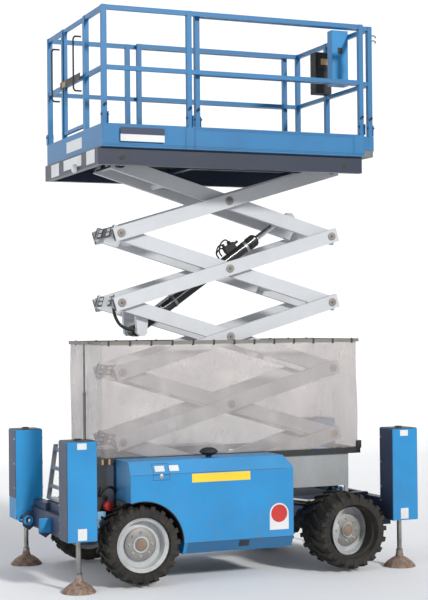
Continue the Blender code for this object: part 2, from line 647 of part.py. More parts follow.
def platform():
    """Underframe, floor, side rails with toe boards, the entry gate and the sliding extension."""
    x0 = DECK_LEFT
    x1 = DECK_RIGHT
    y = DECK_Y
    solids = [
        box(x0 - 0.03, x1 - 0.01, -0.765, -0.70, FRAME_LOW, FRAME_TOP),
        box(x0 - 0.03, x1 - 0.01, 0.70, 0.765, FRAME_LOW, FRAME_TOP),
        box(x0 - 0.032, x0 + 0.03, -0.764, 0.764, FRAME_LOW + 0.001, FRAME_TOP - 0.001),
        box(-0.66, -0.60, -0.71, 0.71, FRAME_TOP - 0.022, FRAME_TOP),
        box(x1 - 0.055, x1 - 0.012, -0.712, 0.712, FRAME_TOP + 0.016, FLOOR_LOW - SEAT),
    ]
    channel = TOP_PIN + 0.0268
    for side in (-1, 1):
        solids.append(box(-0.10, 1.225, side * B_IN, side * (B_OUT - 0.002), channel, FRAME_TOP - 0.002))
        solids.append(box(-0.10, -0.04, side * (B_OUT - 0.01), side * 0.71, FRAME_TOP - 0.043, FRAME_TOP - 0.003))
        solids.append(box(x1 - 0.054, x1 - 0.013, side * B_IN, side * (B_OUT - 0.003), FRAME_TOP - 0.01, FLOOR_LOW - 0.005))
        solids.append(box(x1 - 0.056, x1 - 0.011, side * 0.33, side * 0.711, FRAME_TOP - 0.045, FLOOR_LOW - 0.004))
        lug = [(PIN_LEFT - 0.06, FRAME_TOP), (PIN_LEFT - 0.04, TOP_PIN - 0.02), (PIN_LEFT - 0.02, TOP_PIN - 0.04)]
        lug += [(PIN_LEFT + 0.02, TOP_PIN - 0.04), (PIN_LEFT + 0.04, TOP_PIN - 0.02), (PIN_LEFT + 0.06, FRAME_TOP)]
        solids.append(prism(lug, "y", side * (A_IN + 0.003), side * A_OUT))
        solids.append(box(x0 + 0.02, -0.62, side * (A_IN + 0.002), side * (A_OUT + 0.01), FRAME_TOP - 0.014, FRAME_TOP - 0.001))
        solids.append(box(PIN_LEFT - 0.03, PIN_LEFT + 0.03, side * (A_OUT - 0.01), side * 0.71, FRAME_TOP - 0.016, FRAME_TOP - 0.002))
    cuts = [cross((PIN_LEFT, TOP_PIN), 0.32, PIN_R + PIN_GAP)]
    piece("platform_frame", "frame_navy", solids, cuts, (PIN_LEFT, 0, TOP_PIN))
    floor = [box(x0 + 0.012, x1 - 0.002, -y + 0.012, y - 0.012, FLOOR_LOW, FLOOR_TOP)]
    for side in (-1, 1):
        floor.append(box(x0 + 0.013, x1 - 0.003, side * 0.72, side * 0.76, FRAME_TOP + SEAT, FLOOR_LOW + 0.001))
    piece("platform_floor", "deck_grey", floor, (), (0, 0, FLOOR_TOP))

    h = POST
    posts = []
    bars = []
    boards = []
    top = RAIL_HIGH
    for side in (-1, 1):
        yc = side * (y - h / 2)
        for x in (x0 + h / 2, -0.478, x1 - h / 2):
            posts.append((x, yc, TOE_TOP - 0.17, top))
        ya = side * (y - h + 0.004)
        yb = side * (y - 0.003)
        bars.append((x0 + 0.005, x1 - 0.002, ya, yb, top - 0.040, top - 0.001))
        bars.append((x0 + 0.005, x1 - 0.002, ya, yb, RAIL_MID - 0.018, RAIL_MID + 0.018))
        boards.append((x0 + 0.001, x1, side * (y - 0.008), side * (y + 0.004), FRAME_TOP + 0.004, TOE_TOP))
    xa = x0 + 0.004
    xb = x0 + h - 0.003
    for ylow, yhigh in ((-y + 0.01, GATE_NEAR), (GATE_FAR, y - 0.01)):
        bars.append((xa, xb, ylow, yhigh, top - 0.039, top - 0.002))
        bars.append((xa, xb, ylow, yhigh, RAIL_MID - 0.017, RAIL_MID + 0.017))
    boards.append((x0 - 0.004, x0 + 0.009, -y - 0.003, y + 0.003, FRAME_TOP + 0.005, TOE_TOP - 0.001))
    posts.append((x0 + h / 2, GATE_NEAR - h / 2 + 0.02, TOE_TOP - 0.17, top - 0.0015))
    posts.append((x0 + h / 2, GATE_FAR + h / 2 - 0.02, TOE_TOP - 0.17, top - 0.0015))
    cuts = [box(x0 + 0.0115, x1 + 0.1, -y + 0.0117, y - 0.0117, 3.5, FLOOR_TOP + SEAT)]
    cuts.append(box(x1 - 0.0005, x1 + 0.1, -1, 1, 3.5, 5))
    cuts.append(box(x0 - 0.1, x0 + 0.1, -0.766, 0.766, 3.4, FRAME_TOP + SEAT))
    piece("platform_rails", "body_blue", rails(posts, bars, boards), cuts, (0, 0, FLOOR_TOP))

    gx = x0 + h / 2
    g0 = GATE_NEAR + 0.026
    g1 = GATE_FAR - 0.030
    leaf = [
        box(gx - 0.015, gx + 0.015, g0, g1, top - 0.036, top - 0.006),
        box(gx - 0.014, gx + 0.014, g0, g1, RAIL_MID - 0.015, RAIL_MID + 0.015),
        box(gx - 0.014, gx + 0.014, g0, g1, TOE_TOP + 0.03, TOE_TOP + 0.06),
        box(gx - 0.013, gx + 0.013, g0 + 0.001, g0 + 0.029, TOE_TOP + 0.031, top - 0.007),
        box(gx - 0.013, gx + 0.013, g1 - 0.029, g1 - 0.001, TOE_TOP + 0.031, top - 0.007),
    ]
    piece("entry_gate", "body_blue", leaf, (), (gx, g1 - 0.015, TOE_TOP))

    ez = FLOOR_TOP + 0.006
    solids = [box(EXT_LEFT, EXT_RIGHT - 0.004, -EXT_Y + 0.004, EXT_Y - 0.004, ez, ez + 0.014)]
    solids.append(box(x1 + 0.008, EXT_RIGHT - 0.006, -EXT_Y + 0.005, EXT_Y - 0.005, FRAME_TOP + 0.010, ez + 0.002))
    piece("extension_floor", "deck_grey", solids, (), (EXT_LEFT, 0, ez))
    posts = []
    bars = []
    boards = []
    base = ez + 0.014 + SEAT
    for side in (-1, 1):
        yc = side * (EXT_Y - h / 2)
        posts.append((EXT_LEFT + h / 2 + 0.015, yc, base, top))
        posts.append((EXT_RIGHT - h / 2 - 0.01, yc, base, top))
        ya = side * (EXT_Y - h + 0.004)
        yb = side * (EXT_Y - 0.003)
        bars.append((EXT_LEFT + 0.02, EXT_RIGHT - 0.012, ya, yb, top - 0.040, top - 0.001))
        bars.append((EXT_LEFT + 0.02, EXT_RIGHT - 0.012, ya, yb, RAIL_MID - 0.018, RAIL_MID + 0.018))
        boards.append((EXT_LEFT + 0.016, EXT_RIGHT, side * (EXT_Y - 0.012), side * (EXT_Y - 0.001), base, TOE_TOP - 0.004))
    xa = EXT_RIGHT - h - 0.006
    xb = EXT_RIGHT - 0.013
    bars.append((xa, xb, -EXT_Y + 0.01, EXT_Y - 0.01, top - 0.039, top - 0.002))
    bars.append((xa, xb, -EXT_Y + 0.01, EXT_Y - 0.01, RAIL_MID - 0.017, RAIL_MID + 0.017))
    boards.append((EXT_RIGHT - 0.012, EXT_RIGHT - 0.001, -EXT_Y + 0.002, EXT_Y - 0.002, base + 0.001, TOE_TOP - 0.005))
    posts.append((EXT_RIGHT - h / 2 - 0.01, 0.10, base, top - 0.0015))
    piece("extension_rails", "body_blue", rails(posts, bars, boards), (), (EXT_LEFT, 0, base))
    solids = [box(xa - 0.163, xa - SEAT, -0.03, 0.0785, 4.2775, 4.66)]
    solids.append(box(xa - 0.145, xa - 0.02, -0.045, -0.029, 4.50, 4.64))
    piece("control_box", "black_paint", solids, (), (xa, 0.02, 4.66))
    piece("manual_box", "body_blue", [box(xa - 0.163, xa - SEAT, -0.36, -0.27, 4.30, 4.80)], (), (xa, -0.3, 4.8))


def build():
    """Everything, in the machine's own frame."""
    for obj in list(bpy.data.objects):
        bpy.data.objects.remove(obj)
    for name, x, side, steer in WHEELS:
        wheel(name, x, side, steer)
    axles()
    chassis()
    trays()
    outriggers()
    arms()
    cylinder()
    guard()
    platform()


build()
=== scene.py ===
"""Looks for a four-jack scissor lift: materials, wheels, curtain, hoses, plates and small fittings.

Metres, +Z up. X runs from the ladder end to the steered end, and -Y is the side that the camera sees best.
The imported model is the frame: every place below comes from a CAD node's box or a named size.
"""

import bmesh
import bpy
import numpy as np
from mathutils import Matrix, Vector


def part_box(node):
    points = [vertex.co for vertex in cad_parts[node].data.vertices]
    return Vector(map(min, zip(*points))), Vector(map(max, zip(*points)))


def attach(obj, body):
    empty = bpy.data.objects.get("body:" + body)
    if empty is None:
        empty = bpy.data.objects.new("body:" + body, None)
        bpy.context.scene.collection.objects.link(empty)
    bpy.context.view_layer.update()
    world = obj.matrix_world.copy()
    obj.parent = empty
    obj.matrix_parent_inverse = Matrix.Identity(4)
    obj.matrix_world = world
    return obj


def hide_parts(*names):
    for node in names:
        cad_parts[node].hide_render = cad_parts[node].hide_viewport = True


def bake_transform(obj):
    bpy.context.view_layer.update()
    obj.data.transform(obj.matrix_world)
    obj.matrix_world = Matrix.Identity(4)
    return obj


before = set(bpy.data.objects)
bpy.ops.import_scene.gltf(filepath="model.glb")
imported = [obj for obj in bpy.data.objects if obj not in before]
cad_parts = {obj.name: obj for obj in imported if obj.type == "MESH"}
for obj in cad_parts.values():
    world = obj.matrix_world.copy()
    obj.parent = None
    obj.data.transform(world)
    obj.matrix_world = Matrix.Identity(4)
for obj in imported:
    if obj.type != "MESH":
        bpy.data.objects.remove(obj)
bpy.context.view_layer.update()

TAU = 2 * np.pi

# Sides of the machine: sign of y, and the word in the node names
SIDES = ((-1, "near"), (1, "far"))
ENDS = ((-1, "rear"), (1, "front"))


# ---------------------------------------------------------------- camera and light


def aim_camera():
    """A long lens at chest height, 13 m away, a little to the ladder end's side of square on."""
    yaw, pitch, roll = np.radians((-22.8069, 0.5217, -0.541))
    forward = Vector((-np.sin(yaw) * np.cos(pitch), np.cos(yaw) * np.cos(pitch), np.sin(pitch)))
    level = Vector((np.cos(yaw), np.sin(yaw), 0))
    up = level.cross(forward)
    right = level * np.cos(roll) + up * np.sin(roll)
    up = up * np.cos(roll) - level * np.sin(roll)
    data = bpy.data.cameras.new("camera")
    data.sensor_width = 36.0
    data.lens = 87.357
    data.shift_y = 0.0214
    data.clip_end = 200.0
    camera = bpy.data.objects.new("camera", data)
    turn = Matrix((right, up, -forward)).transposed().to_4x4()
    camera.matrix_world = Matrix.Translation((-5.0093, -12.0396, 2.1354)) @ turn
    bpy.context.collection.objects.link(camera)
    bpy.context.scene.camera = camera


def add_area_light(name, place, target, width, power, colour=(1, 1, 1)):
    data = bpy.data.lights.new(name, "AREA")
    data.shape = "DISK"
    data.size = width
    data.energy = power
    data.color = colour
    lamp = bpy.data.objects.new(name, data)
    direction = Vector(target) - Vector(place)
    lamp.matrix_world = Matrix.Translation(place) @ direction.to_track_quat("-Z", "Y").to_matrix().to_4x4()
    bpy.context.collection.objects.link(lamp)


def light_the_room():
    """Soft studio daylight: a bright dome, a broad key from the near side, and a fill on the ladder end."""
    world = bpy.data.worlds.new("studio")
    bpy.context.scene.world = world
    world.use_nodes = True
    background = world.node_tree.nodes["Background"]
    background.inputs["Color"].default_value = (0.93, 0.95, 1.0, 1)
    background.inputs["Strength"].default_value = 0.40
    data = bpy.data.lights.new("key", "SUN")
    data.energy = 2.75
    data.angle = np.radians(7)
    data.color = (1.0, 0.98, 0.95)
    key = bpy.data.objects.new("key", data)
    key.matrix_world = Vector((-0.28, 0.95, -0.52)).to_track_quat("-Z", "Y").to_matrix().to_4x4()
    bpy.context.collection.objects.link(key)
    add_area_light("fill", (-11.0, -5.5, 3.5), (0, 0, 2.2), 6.0, 420, (0.95, 0.97, 1.0))
    bpy.context.scene.view_settings.view_transform = "Standard"


def lay_floor():
    """A pale seamless sweep: flat under the machine, curving up far behind it."""
    back, half, radius, height = 9.0, 30.0, 4.0, 22.0
    bend = np.linspace(0, np.pi / 2, 25)
    along = np.concatenate(([-30.0], back + radius * np.sin(bend), [back + radius]))
    lift = np.concatenate(([0.0], radius * (1 - np.cos(bend)), [height]))
    across = np.linspace(-half, half, 3)
    verts = np.stack(
        (np.tile(across, len(along)), np.repeat(along, 3), np.repeat(lift, 3)), axis=1
    )
    floor = mesh_object("studio_floor", (verts, grid_faces(len(along), 3)), smooth=True)
    floor.data.materials.append(FINISHES["floor"])


# ---------------------------------------------------------------- surfaces as whole arrays


def grid_faces(rows, columns, wrap_rows=False, wrap_columns=False):
    """Quads over a grid of rows x columns points, row by row, joined round where asked."""
    i = np.arange(rows if wrap_rows else rows - 1)[:, None]
    j = np.arange(columns if wrap_columns else columns - 1)[None, :]
    i2, j2 = (i + 1) % rows, (j + 1) % columns
    quads = np.stack(
        (i * columns + j, i * columns + j2, i2 * columns + j2, i2 * columns + j), axis=-1
    )
    return quads.reshape(-1, 4).tolist()


def join(*shapes):
    """Several (points, faces) shapes as one."""
    points, faces, start = [], [], 0
    for verts, polygons in shapes:
        points.append(np.asarray(verts, float))
        faces += [[corner + start for corner in polygon] for polygon in polygons]
        start += len(verts)
    return np.concatenate(points), faces


def blocks(*extents):
    """Closed blocks from rows of x0, x1, y0, y1, z0, z1."""
    faces = [[0, 2, 3, 1], [4, 5, 7, 6], [0, 1, 5, 4], [2, 6, 7, 3], [0, 4, 6, 2], [1, 3, 7, 5]]
    shapes = []
    for x0, x1, y0, y1, z0, z1 in extents:
        corners = [(x, y, z) for z in (z0, z1) for y in (y0, y1) for x in (x0, x1)]
        shapes.append((np.array(corners), faces))
    return join(*shapes)


AXES = {
    "x": ((0, 1, 0), (0, 0, 1), (1, 0, 0)),
    "y": ((0, 0, 1), (1, 0, 0), (0, 1, 0)),
    "z": ((1, 0, 0), (0, 1, 0), (0, 0, 1)),
}


def turned(profile, centre, axis, count=32):
    """A profile of (radius, distance along the axis) turned about an axis.

    Each point is centre + r cos(t) a + r sin(t) b + s n, where a, b and n are the axis's frame.
    Its first and last rings are closed by flat ends.
    """
    a, b, n = (np.array(v, float) for v in AXES[axis]) if isinstance(axis, str) else axis
    r, s = np.array(profile, float).T
    t = np.linspace(0, TAU, count, endpoint=False)
    points = (
        np.asarray(centre, float)
        + r[:, None, None] * (np.cos(t)[None, :, None] * a + np.sin(t)[None, :, None] * b)
        + s[:, None, None] * n
    )
    faces = grid_faces(len(r), count, wrap_columns=True)
    last = (len(r) - 1) * count
    faces += [list(range(count))[::-1], list(range(last, last + count))]
    return points.reshape(-1, 3), faces


def ring(profile, centre, axis, count=32):
    """A closed profile of (radius, distance) turned into a ring: as turned(), but joined to itself."""
    a, b, n = (np.array(v, float) for v in AXES[axis])
    r, s = np.array(profile, float).T
    t = np.linspace(0, TAU, count, endpoint=False)
    points = (
        np.asarray(centre, float)
        + r[:, None, None] * (np.cos(t)[None, :, None] * a + np.sin(t)[None, :, None] * b)
        + s[:, None, None] * n
    )
    return points.reshape(-1, 3), grid_faces(len(r), count, wrap_rows=True, wrap_columns=True)


def frame_along(direction):
    """Two cross directions and the direction itself, as turned() takes them."""
    n = np.asarray(direction, float) / np.linalg.norm(direction)
    side = np.cross(n, (0, 1, 0) if abs(n[1]) < 0.9 else (1, 0, 0))
    side /= np.linalg.norm(side)
    return side, np.cross(n, side), n


def rod(start, end, radius, count=20, chamfer=0.15):
    """A round bar between two points with small chamfers."""
    start, end = np.asarray(start, float), np.asarray(end, float)
    length = np.linalg.norm(end - start)
    cut = radius * chamfer
    profile = [(radius - cut, 0), (radius, cut), (radius, length - cut), (radius - cut, length)]
    return turned(profile, start, frame_along(end - start), count)


def smooth_path(points, steps=10):
    """A Catmull-Rom curve through the points, with steps samples to each stretch."""
    p = np.asarray(points, float)
    p = np.concatenate(([2 * p[0] - p[1]], p, [2 * p[-1] - p[-2]]))
    t = np.linspace(0, 1, steps, endpoint=False)[:, None]
    parts = [
        0.5
        * (
            2 * p[i + 1]
            + (p[i + 2] - p[i]) * t
            + (2 * p[i] - 5 * p[i + 1] + 4 * p[i + 2] - p[i + 3]) * t**2
            + (3 * p[i + 1] - p[i] - 3 * p[i + 2] + p[i + 3]) * t**3
        )
        for i in range(len(p) - 3)
    ]
    return np.concatenate(parts + [p[-2:-1]])


def tube(points, radius, count=10):
    """A round tube along a path: each ring lies across the path, its frame carried along without twist."""
    p = np.asarray(points, float)
    tangent = np.gradient(p, axis=0)
    tangent /= np.linalg.norm(tangent, axis=1)[:, None]
    side, sides = frame_along(tangent[0])[0], []
    for direction in tangent:
        side = side - direction * side.dot(direction)
        side = side / np.linalg.norm(side)
        sides.append(side)
    a = np.array(sides)
    b = np.cross(tangent, a)
    t = np.linspace(0, TAU, count, endpoint=False)
    points = (
        p[:, None, :]
        + radius * np.cos(t)[None, :, None] * a[:, None, :]
        + radius * np.sin(t)[None, :, None] * b[:, None, :]
    )
    faces = grid_faces(len(p), count, wrap_columns=True)
    last = (len(p) - 1) * count
    faces += [list(range(count))[::-1], list(range(last, last + count))]
    return points.reshape(-1, 3), faces


def bolt(place, axis, size=0.012, height=0.008):
    """A hexagon head on a washer, standing out along the axis (a letter, with a sign for its way)."""
    way = -1.0 if axis.startswith("-") else 1.0
    a, b, n = (np.array(v, float) for v in AXES[axis[-1]])
    n = n * way
    washer = turned([(size * 1.5, -0.002), (size * 1.5, 0.002), (size * 1.3, 0.003)], place, (a, b, n), 16)
    head = turned([(size, 0.002), (size, height), (size * 0.8, height + 0.002)], place, (a, b, n), 6)
    return join(washer, head)


def mesh_object(name, shape, smooth=False):
    verts, faces = shape
    mesh = bpy.data.meshes.new(name)
    mesh.from_pydata(np.asarray(verts).tolist(), [], faces)
    work = bmesh.new()
    work.from_mesh(mesh)
    bmesh.ops.recalc_face_normals(work, faces=work.faces)
    work.to_mesh(mesh)
    work.free()
    mesh.polygons.foreach_set("use_smooth", np.full(len(mesh.polygons), smooth))
    thing = bpy.data.objects.new(name, mesh)
    bpy.context.collection.objects.link(thing)
    return thing


def piece(name, shape, body, finish, bevel=0.0, smooth=False):
    """A new visible piece: its mesh, finish, body and material slot, with softened edges where asked."""
    thing = mesh_object(name, shape, smooth)
    thing.data.materials.append(FINISHES[finish])
    if bevel:
        soft = thing.modifiers.new("edges", "BEVEL")
        soft.width = bevel
        soft.segments = 2
        soft.limit_method = "ANGLE"
        soft.harden_normals = True
        thing.data.polygons.foreach_set("use_smooth", np.full(len(thing.data.polygons), True))
    elif smooth:
        thing.data.set_sharp_from_angle(angle=np.radians(38))
    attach(thing, body)
    return thing


# ---------------------------------------------------------------- finishes


def srgb(r, g, b):
    """A colour given in 0..255 display steps, as linear light."""
    c = np.array((r, g, b)) / 255
    linear = np.where(c <= 0.04045, c / 12.92, ((c + 0.055) / 1.055) ** 2.4)
    return (*map(float, linear), 1.0)


class Finish:
    """A node material that is built step by step on Object coordinates."""

    def __init__(self, name):
        self.material = bpy.data.materials.new(name)
        self.material.use_nodes = True
        self.tree = self.material.node_tree
        self.surface = self.tree.nodes["Principled BSDF"]
        self.coords = self.tree.nodes.new("ShaderNodeTexCoord")

    def node(self, kind, **inputs):
        made = self.tree.nodes.new("ShaderNode" + kind)
        for key, value in inputs.items():
            self.feed(made.inputs[key.replace("_", " ")], value)
        return made

    def feed(self, socket, value):
        if isinstance(value, bpy.types.NodeSocket):
            self.tree.links.new(value, socket)
        else:
            socket.default_value = value

    def noise(self, scale, detail=4.0, stretch=(1, 1, 1), roughness=0.55):
        place = self.node("Mapping")
        self.feed(place.inputs["Vector"], self.coords.outputs["Object"])
        place.inputs["Scale"].default_value = stretch
        made = self.node("TexNoise", Scale=scale, Detail=detail, Roughness=roughness)
        self.feed(made.inputs["Vector"], place.outputs["Vector"])
        return made.outputs["Fac"]

    def ramp(self, value, low, high, low_out=0.0, high_out=1.0):
        made = self.node("MapRange")
        for key, number in zip(("Value", "From Min", "From Max", "To Min", "To Max"),
                               (value, low, high, low_out, high_out)):
            self.feed(made.inputs[key], number)
        return made.outputs["Result"]

    def maths(self, kind, a, b=0.0):
        made = self.node("Math")
        made.operation = kind
        self.feed(made.inputs[0], a)
        self.feed(made.inputs[1], b)
        return made.outputs["Value"]

    def mix(self, amount, a, b):
        made = self.node("Mix")
        made.data_type = "RGBA"
        for socket, value in zip((made.inputs[0], made.inputs[6], made.inputs[7]), (amount, a, b)):
            self.feed(socket, value)
        return made.outputs[2]

    def height(self):
        return self.node("SeparateXYZ", Vector=self.coords.outputs["Object"]).outputs["Z"]

    def edge(self, radius):
        """1 on edges and 0 on flats: how far the rounded normal leans from the true one."""
        rounded = self.node("Bevel", Radius=radius)
        rounded.samples = 4
        true = self.node("NewGeometry")
        lean = self.node("VectorMath")
        lean.operation = "DOT_PRODUCT"
        self.feed(lean.inputs[0], rounded.outputs["Normal"])
        self.feed(lean.inputs[1], true.outputs["Normal"])
        return self.ramp(lean.outputs["Value"], 0.985, 0.86)

    def relief(self, *layers):
        """Bump from rows of height value and depth in metres."""
        normal = None
        for value, depth in layers:
            bump = self.node("Bump", Height=value, Distance=depth, Strength=1.0)
            if normal is not None:
                self.feed(bump.inputs["Normal"], normal)
            normal = bump.outputs["Normal"]
        self.feed(self.surface.inputs["Normal"], normal)

    def set(self, **inputs):
        for key, value in inputs.items():
            self.feed(self.surface.inputs[key.replace("_", " ")], value)


def painted(name, colour, rough=0.38, metal=0.0, dirt=(92, 84, 74), dirt_height=1.1, dirt_amount=0.35,
            chip=(70, 66, 62), chip_amount=0.6, coat=0.12, tone=0.12):
    """Sprayed paint: faint cloudiness, fine orange peel, chipped edges, and road dirt that fades upwards."""
    f = Finish(name)
    base = srgb(*colour)
    darker = tuple(c * (1 - tone) for c in base[:3]) + (1.0,)
    lighter = tuple(min(1.0, c * (1 + tone * 0.6)) for c in base[:3]) + (1.0,)
    cloud = f.noise(2.3, 5.0)
    shade = f.mix(f.ramp(cloud, 0.3, 0.7), darker, lighter)
    grit = f.noise(11.0, 8.0, roughness=0.7)
    streak = f.noise(9.0, 4.0, stretch=(1, 1, 0.12))
    low = f.ramp(f.height(), dirt_height, 0.05)
    amount = f.maths("MULTIPLY", f.ramp(grit, 0.42, 0.68), f.ramp(low, 0, 1, 0.12, 1.0))
    streaks = f.maths("MULTIPLY", f.ramp(streak, 0.56, 0.74), 0.25)
    amount = f.maths("MULTIPLY", f.maths("ADD", amount, streaks), dirt_amount)
    shade = f.mix(amount, shade, srgb(*dirt))
    worn = f.maths("MULTIPLY", f.edge(0.005), f.ramp(f.noise(26.0, 6.0), 0.47, 0.6, 0.0, chip_amount))
    shade = f.mix(worn, shade, srgb(*chip))
    gloss = f.ramp(f.maths("ADD", amount, f.maths("MULTIPLY", cloud, 0.3)), 0.0, 0.8, rough, min(rough + 0.35, 0.95))
    f.set(Base_Color=shade, Roughness=gloss, Metallic=metal, Coat_Weight=coat, Coat_Roughness=0.25)
    f.relief((f.noise(160.0, 2.0), 0.0004), (f.noise(6.0, 2.0), 0.0012))
    return f.material


def bare_metal(name, colour, rough=0.4, metal=0.85, rust=0.0, rust_colour=(116, 74, 48), grain=(1, 1, 1)):
    """Cast, zinc or chromed metal with fine grain, smudges and, where asked, rust."""
    f = Finish(name)
    base = srgb(*colour)
    darker = tuple(c * 0.72 for c in base[:3]) + (1.0,)
    smudge = f.noise(7.0, 6.0)
    shade = f.mix(f.ramp(smudge, 0.35, 0.7), darker, base)
    rusty = f.ramp(f.noise(19.0, 8.0, roughness=0.7), 0.62 - 0.3 * rust, 0.72 - 0.1 * rust, 0.0, 1.0 if rust else 0.0)
    spread = f.noise(3.5, 3.0)
    rusty = f.maths("MULTIPLY", rusty, f.ramp(spread, 0.35, 0.6, 0.4 * rust, min(1.0, 1.4 * rust)))
    shade = f.mix(rusty, shade, srgb(*rust_colour))
    f.set(
        Base_Color=shade,
        Roughness=f.ramp(f.maths("ADD", smudge, rusty), 0.3, 1.5, rough, min(1.0, rough + 0.5)),
        Metallic=f.ramp(rusty, 0, 1, metal, 0.1),
    )
    f.relief((f.noise(120.0, 4.0, stretch=grain), 0.0005), (f.noise(30.0, 6.0), 0.0006 + 0.001 * rust))
    return f.material


def leg_steel(name):
    """A bright worn rod that turns to rusty cast steel at its foot."""
    f = Finish(name)
    foot = f.ramp(f.height(), 0.135, 0.112)
    smudge = f.noise(9.0, 6.0)
    steel = f.mix(f.ramp(smudge, 0.35, 0.7), srgb(122, 120, 116), srgb(176, 176, 172))
    spots = f.noise(24.0, 8.0, roughness=0.75)
    cast = f.mix(f.ramp(spots, 0.38, 0.62), srgb(104, 84, 70), srgb(158, 138, 124))
    f.set(
        Base_Color=f.mix(foot, steel, cast),
        Roughness=f.ramp(foot, 0, 1, 0.30, 0.75),
        Metallic=f.ramp(foot, 0, 1, 0.9, 0.25),
    )
    f.relief((f.noise(140.0, 4.0, stretch=(1, 1, 4)), 0.0004), (spots, 0.0012))
    return f.material


def rubber(name):
    """Old tyre rubber: brown-black, matt, with dried mud in its hollows."""
    f = Finish(name)
    mud = f.ramp(f.noise(13.0, 8.0, roughness=0.7), 0.42, 0.66)
    shade = f.mix(f.ramp(f.noise(4.0, 4.0), 0.3, 0.7), srgb(26, 25, 24), srgb(44, 42, 39))
    shade = f.mix(f.maths("MULTIPLY", mud, 0.30), shade, srgb(84, 79, 72))
    f.set(Base_Color=shade, Roughness=f.ramp(mud, 0, 1, 0.72, 0.95), Specular_IOR_Level=0.3)
    f.relief((f.noise(90.0, 6.0), 0.0012), (f.noise(18.0, 4.0), 0.0015))
    return f.material


def clear_vinyl(name):
    """Milky see-through sheeting: cloudy patches, faint creases, part of the light let through."""
    f = Finish(name)
    cloud = f.noise(2.6, 6.0, stretch=(1, 1, 0.7))
    crease = f.noise(14.0, 3.0, stretch=(1, 1, 0.22))
    shade = f.mix(f.ramp(cloud, 0.32, 0.7), srgb(176, 168, 165), srgb(196, 190, 187))
    f.set(
        Base_Color=shade,
        Roughness=f.ramp(crease, 0.35, 0.7, 0.28, 0.5),
        Alpha=f.ramp(f.maths("ADD", f.maths("MULTIPLY", cloud, 0.7), f.maths("MULTIPLY", crease, 0.3)),
                     0.3, 0.7, 0.26, 0.44),
        Specular_IOR_Level=0.4,
    )
    f.relief((crease, 0.006), (f.noise(45.0, 3.0), 0.0008))
    return f.material


def tread_plate(name):
    """Painted steel deck with raised lozenges, scuffed grey by boots."""
    f = Finish(name)
    wave = f.node("TexVoronoi", Scale=28.0)
    wave.feature = "F1"
    f.feed(wave.inputs["Vector"], f.coords.outputs["Object"])
    lozenge = f.ramp(wave.outputs["Distance"], 0.42, 0.2)
    scuff = f.ramp(f.noise(5.0, 8.0), 0.4, 0.65)
    shade = f.mix(scuff, srgb(96, 100, 104), srgb(132, 134, 134))
    f.set(Base_Color=shade, Roughness=f.ramp(scuff, 0, 1, 0.45, 0.75), Metallic=0.4)
    f.relief((lozenge, 0.002), (f.noise(80.0, 4.0), 0.0005))
    return f.material


def studio_paper(name):
    f = Finish(name)
    f.set(Base_Color=f.mix(f.noise(0.6, 3.0), srgb(232, 233, 235), srgb(238, 239, 241)), Roughness=0.9)
    f.relief((f.noise(220.0, 3.0), 0.0004))
    return f.material


def make_finishes():
    return {
        "floor": studio_paper("studio_paper"),
        "blue": painted("blue_paint", (14, 128, 186), dirt_amount=0.26),
        "rail_blue": painted("rail_blue_paint", (18, 108, 160), dirt_amount=0.12, chip_amount=0.45),
        # Darker blue for the tray's downward-facing foot: partly dirt, partly painted shade.
        "foot_dirt_and_shade": painted("tray_foot_dirt_and_painted_shade", (22, 96, 142), dirt_amount=0.3),
        # Deep blue, darker than the platform frame's own paint: the rest is painted shade under the toe boards.
        "deep_blue": painted("dark_blue_paint_and_painted_shade", (18, 34, 56), dirt_amount=0.08),
        "navy": painted("navy_paint", (34, 50, 78), rough=0.45, dirt_amount=0.16),
        "arm": painted("arm_grey_paint", (188, 191, 195), rough=0.5, dirt=(120, 112, 104), dirt_height=4.5,
                       dirt_amount=0.10, tone=0.04, chip=(120, 100, 88)),
        "panel": painted("panel_grey_paint", (150, 153, 155), dirt_amount=0.3),
        "rail_grey": painted("guard_rail_grey", (122, 119, 114), rough=0.6, dirt_height=3.0, dirt_amount=0.4,
                             chip=(60, 58, 56)),
        "black": painted("black_paint", (27, 28, 31), rough=0.5, dirt_amount=0.25, chip=(90, 90, 90)),
        "plastic": painted("black_moulding", (34, 35, 38), rough=0.6, dirt_amount=0.2, coat=0.0, chip_amount=0.0),
        "plate": painted("blank_plate", (208, 210, 211), rough=0.35, dirt_amount=0.15, chip_amount=0.0),
        "yellow": painted("yellow_strip", (232, 196, 44), rough=0.4, dirt_amount=0.2, chip_amount=0.0),
        "red": painted("red_knob", (186, 40, 34), rough=0.35, dirt_amount=0.2, chip_amount=0.2),
        "tan": painted("tan_strap", (188, 152, 104), rough=0.8, dirt_amount=0.3, coat=0.0, chip_amount=0.0),
        "pale_blue": painted("pale_blue_paint", (126, 178, 214), dirt_amount=0.45),
        "chrome": bare_metal("chrome", (215, 218, 220), 0.16, 1.0),
        "zinc": bare_metal("zinc", (176, 178, 180), 0.38, 0.85, rust=0.1),
        "rim": bare_metal("silver_rim", (196, 199, 200), 0.42, 0.45, rust=0.14, rust_colour=(128, 96, 72)),
        "hub": bare_metal("grey_hub", (146, 144, 141), 0.5, 0.5, rust=0.25, rust_colour=(132, 108, 90)),
        "rust": bare_metal("rusty_centre", (146, 124, 108), 0.7, 0.3, rust=0.5, rust_colour=(120, 88, 68)),
        "leg": leg_steel("leg_steel"),
        "rubber": rubber("tyre_rubber"),
        "vinyl": clear_vinyl("curtain_vinyl"),
        "deck": tread_plate("deck_plate"),
        "hose": painted("hose_rubber", (22, 22, 24), rough=0.55, dirt_amount=0.2, coat=0.0, chip_amount=0.0),
        "pale_hose": painted("pale_hose", (196, 190, 176), rough=0.6, dirt_amount=0.3, coat=0.0, chip_amount=0.0),
    }


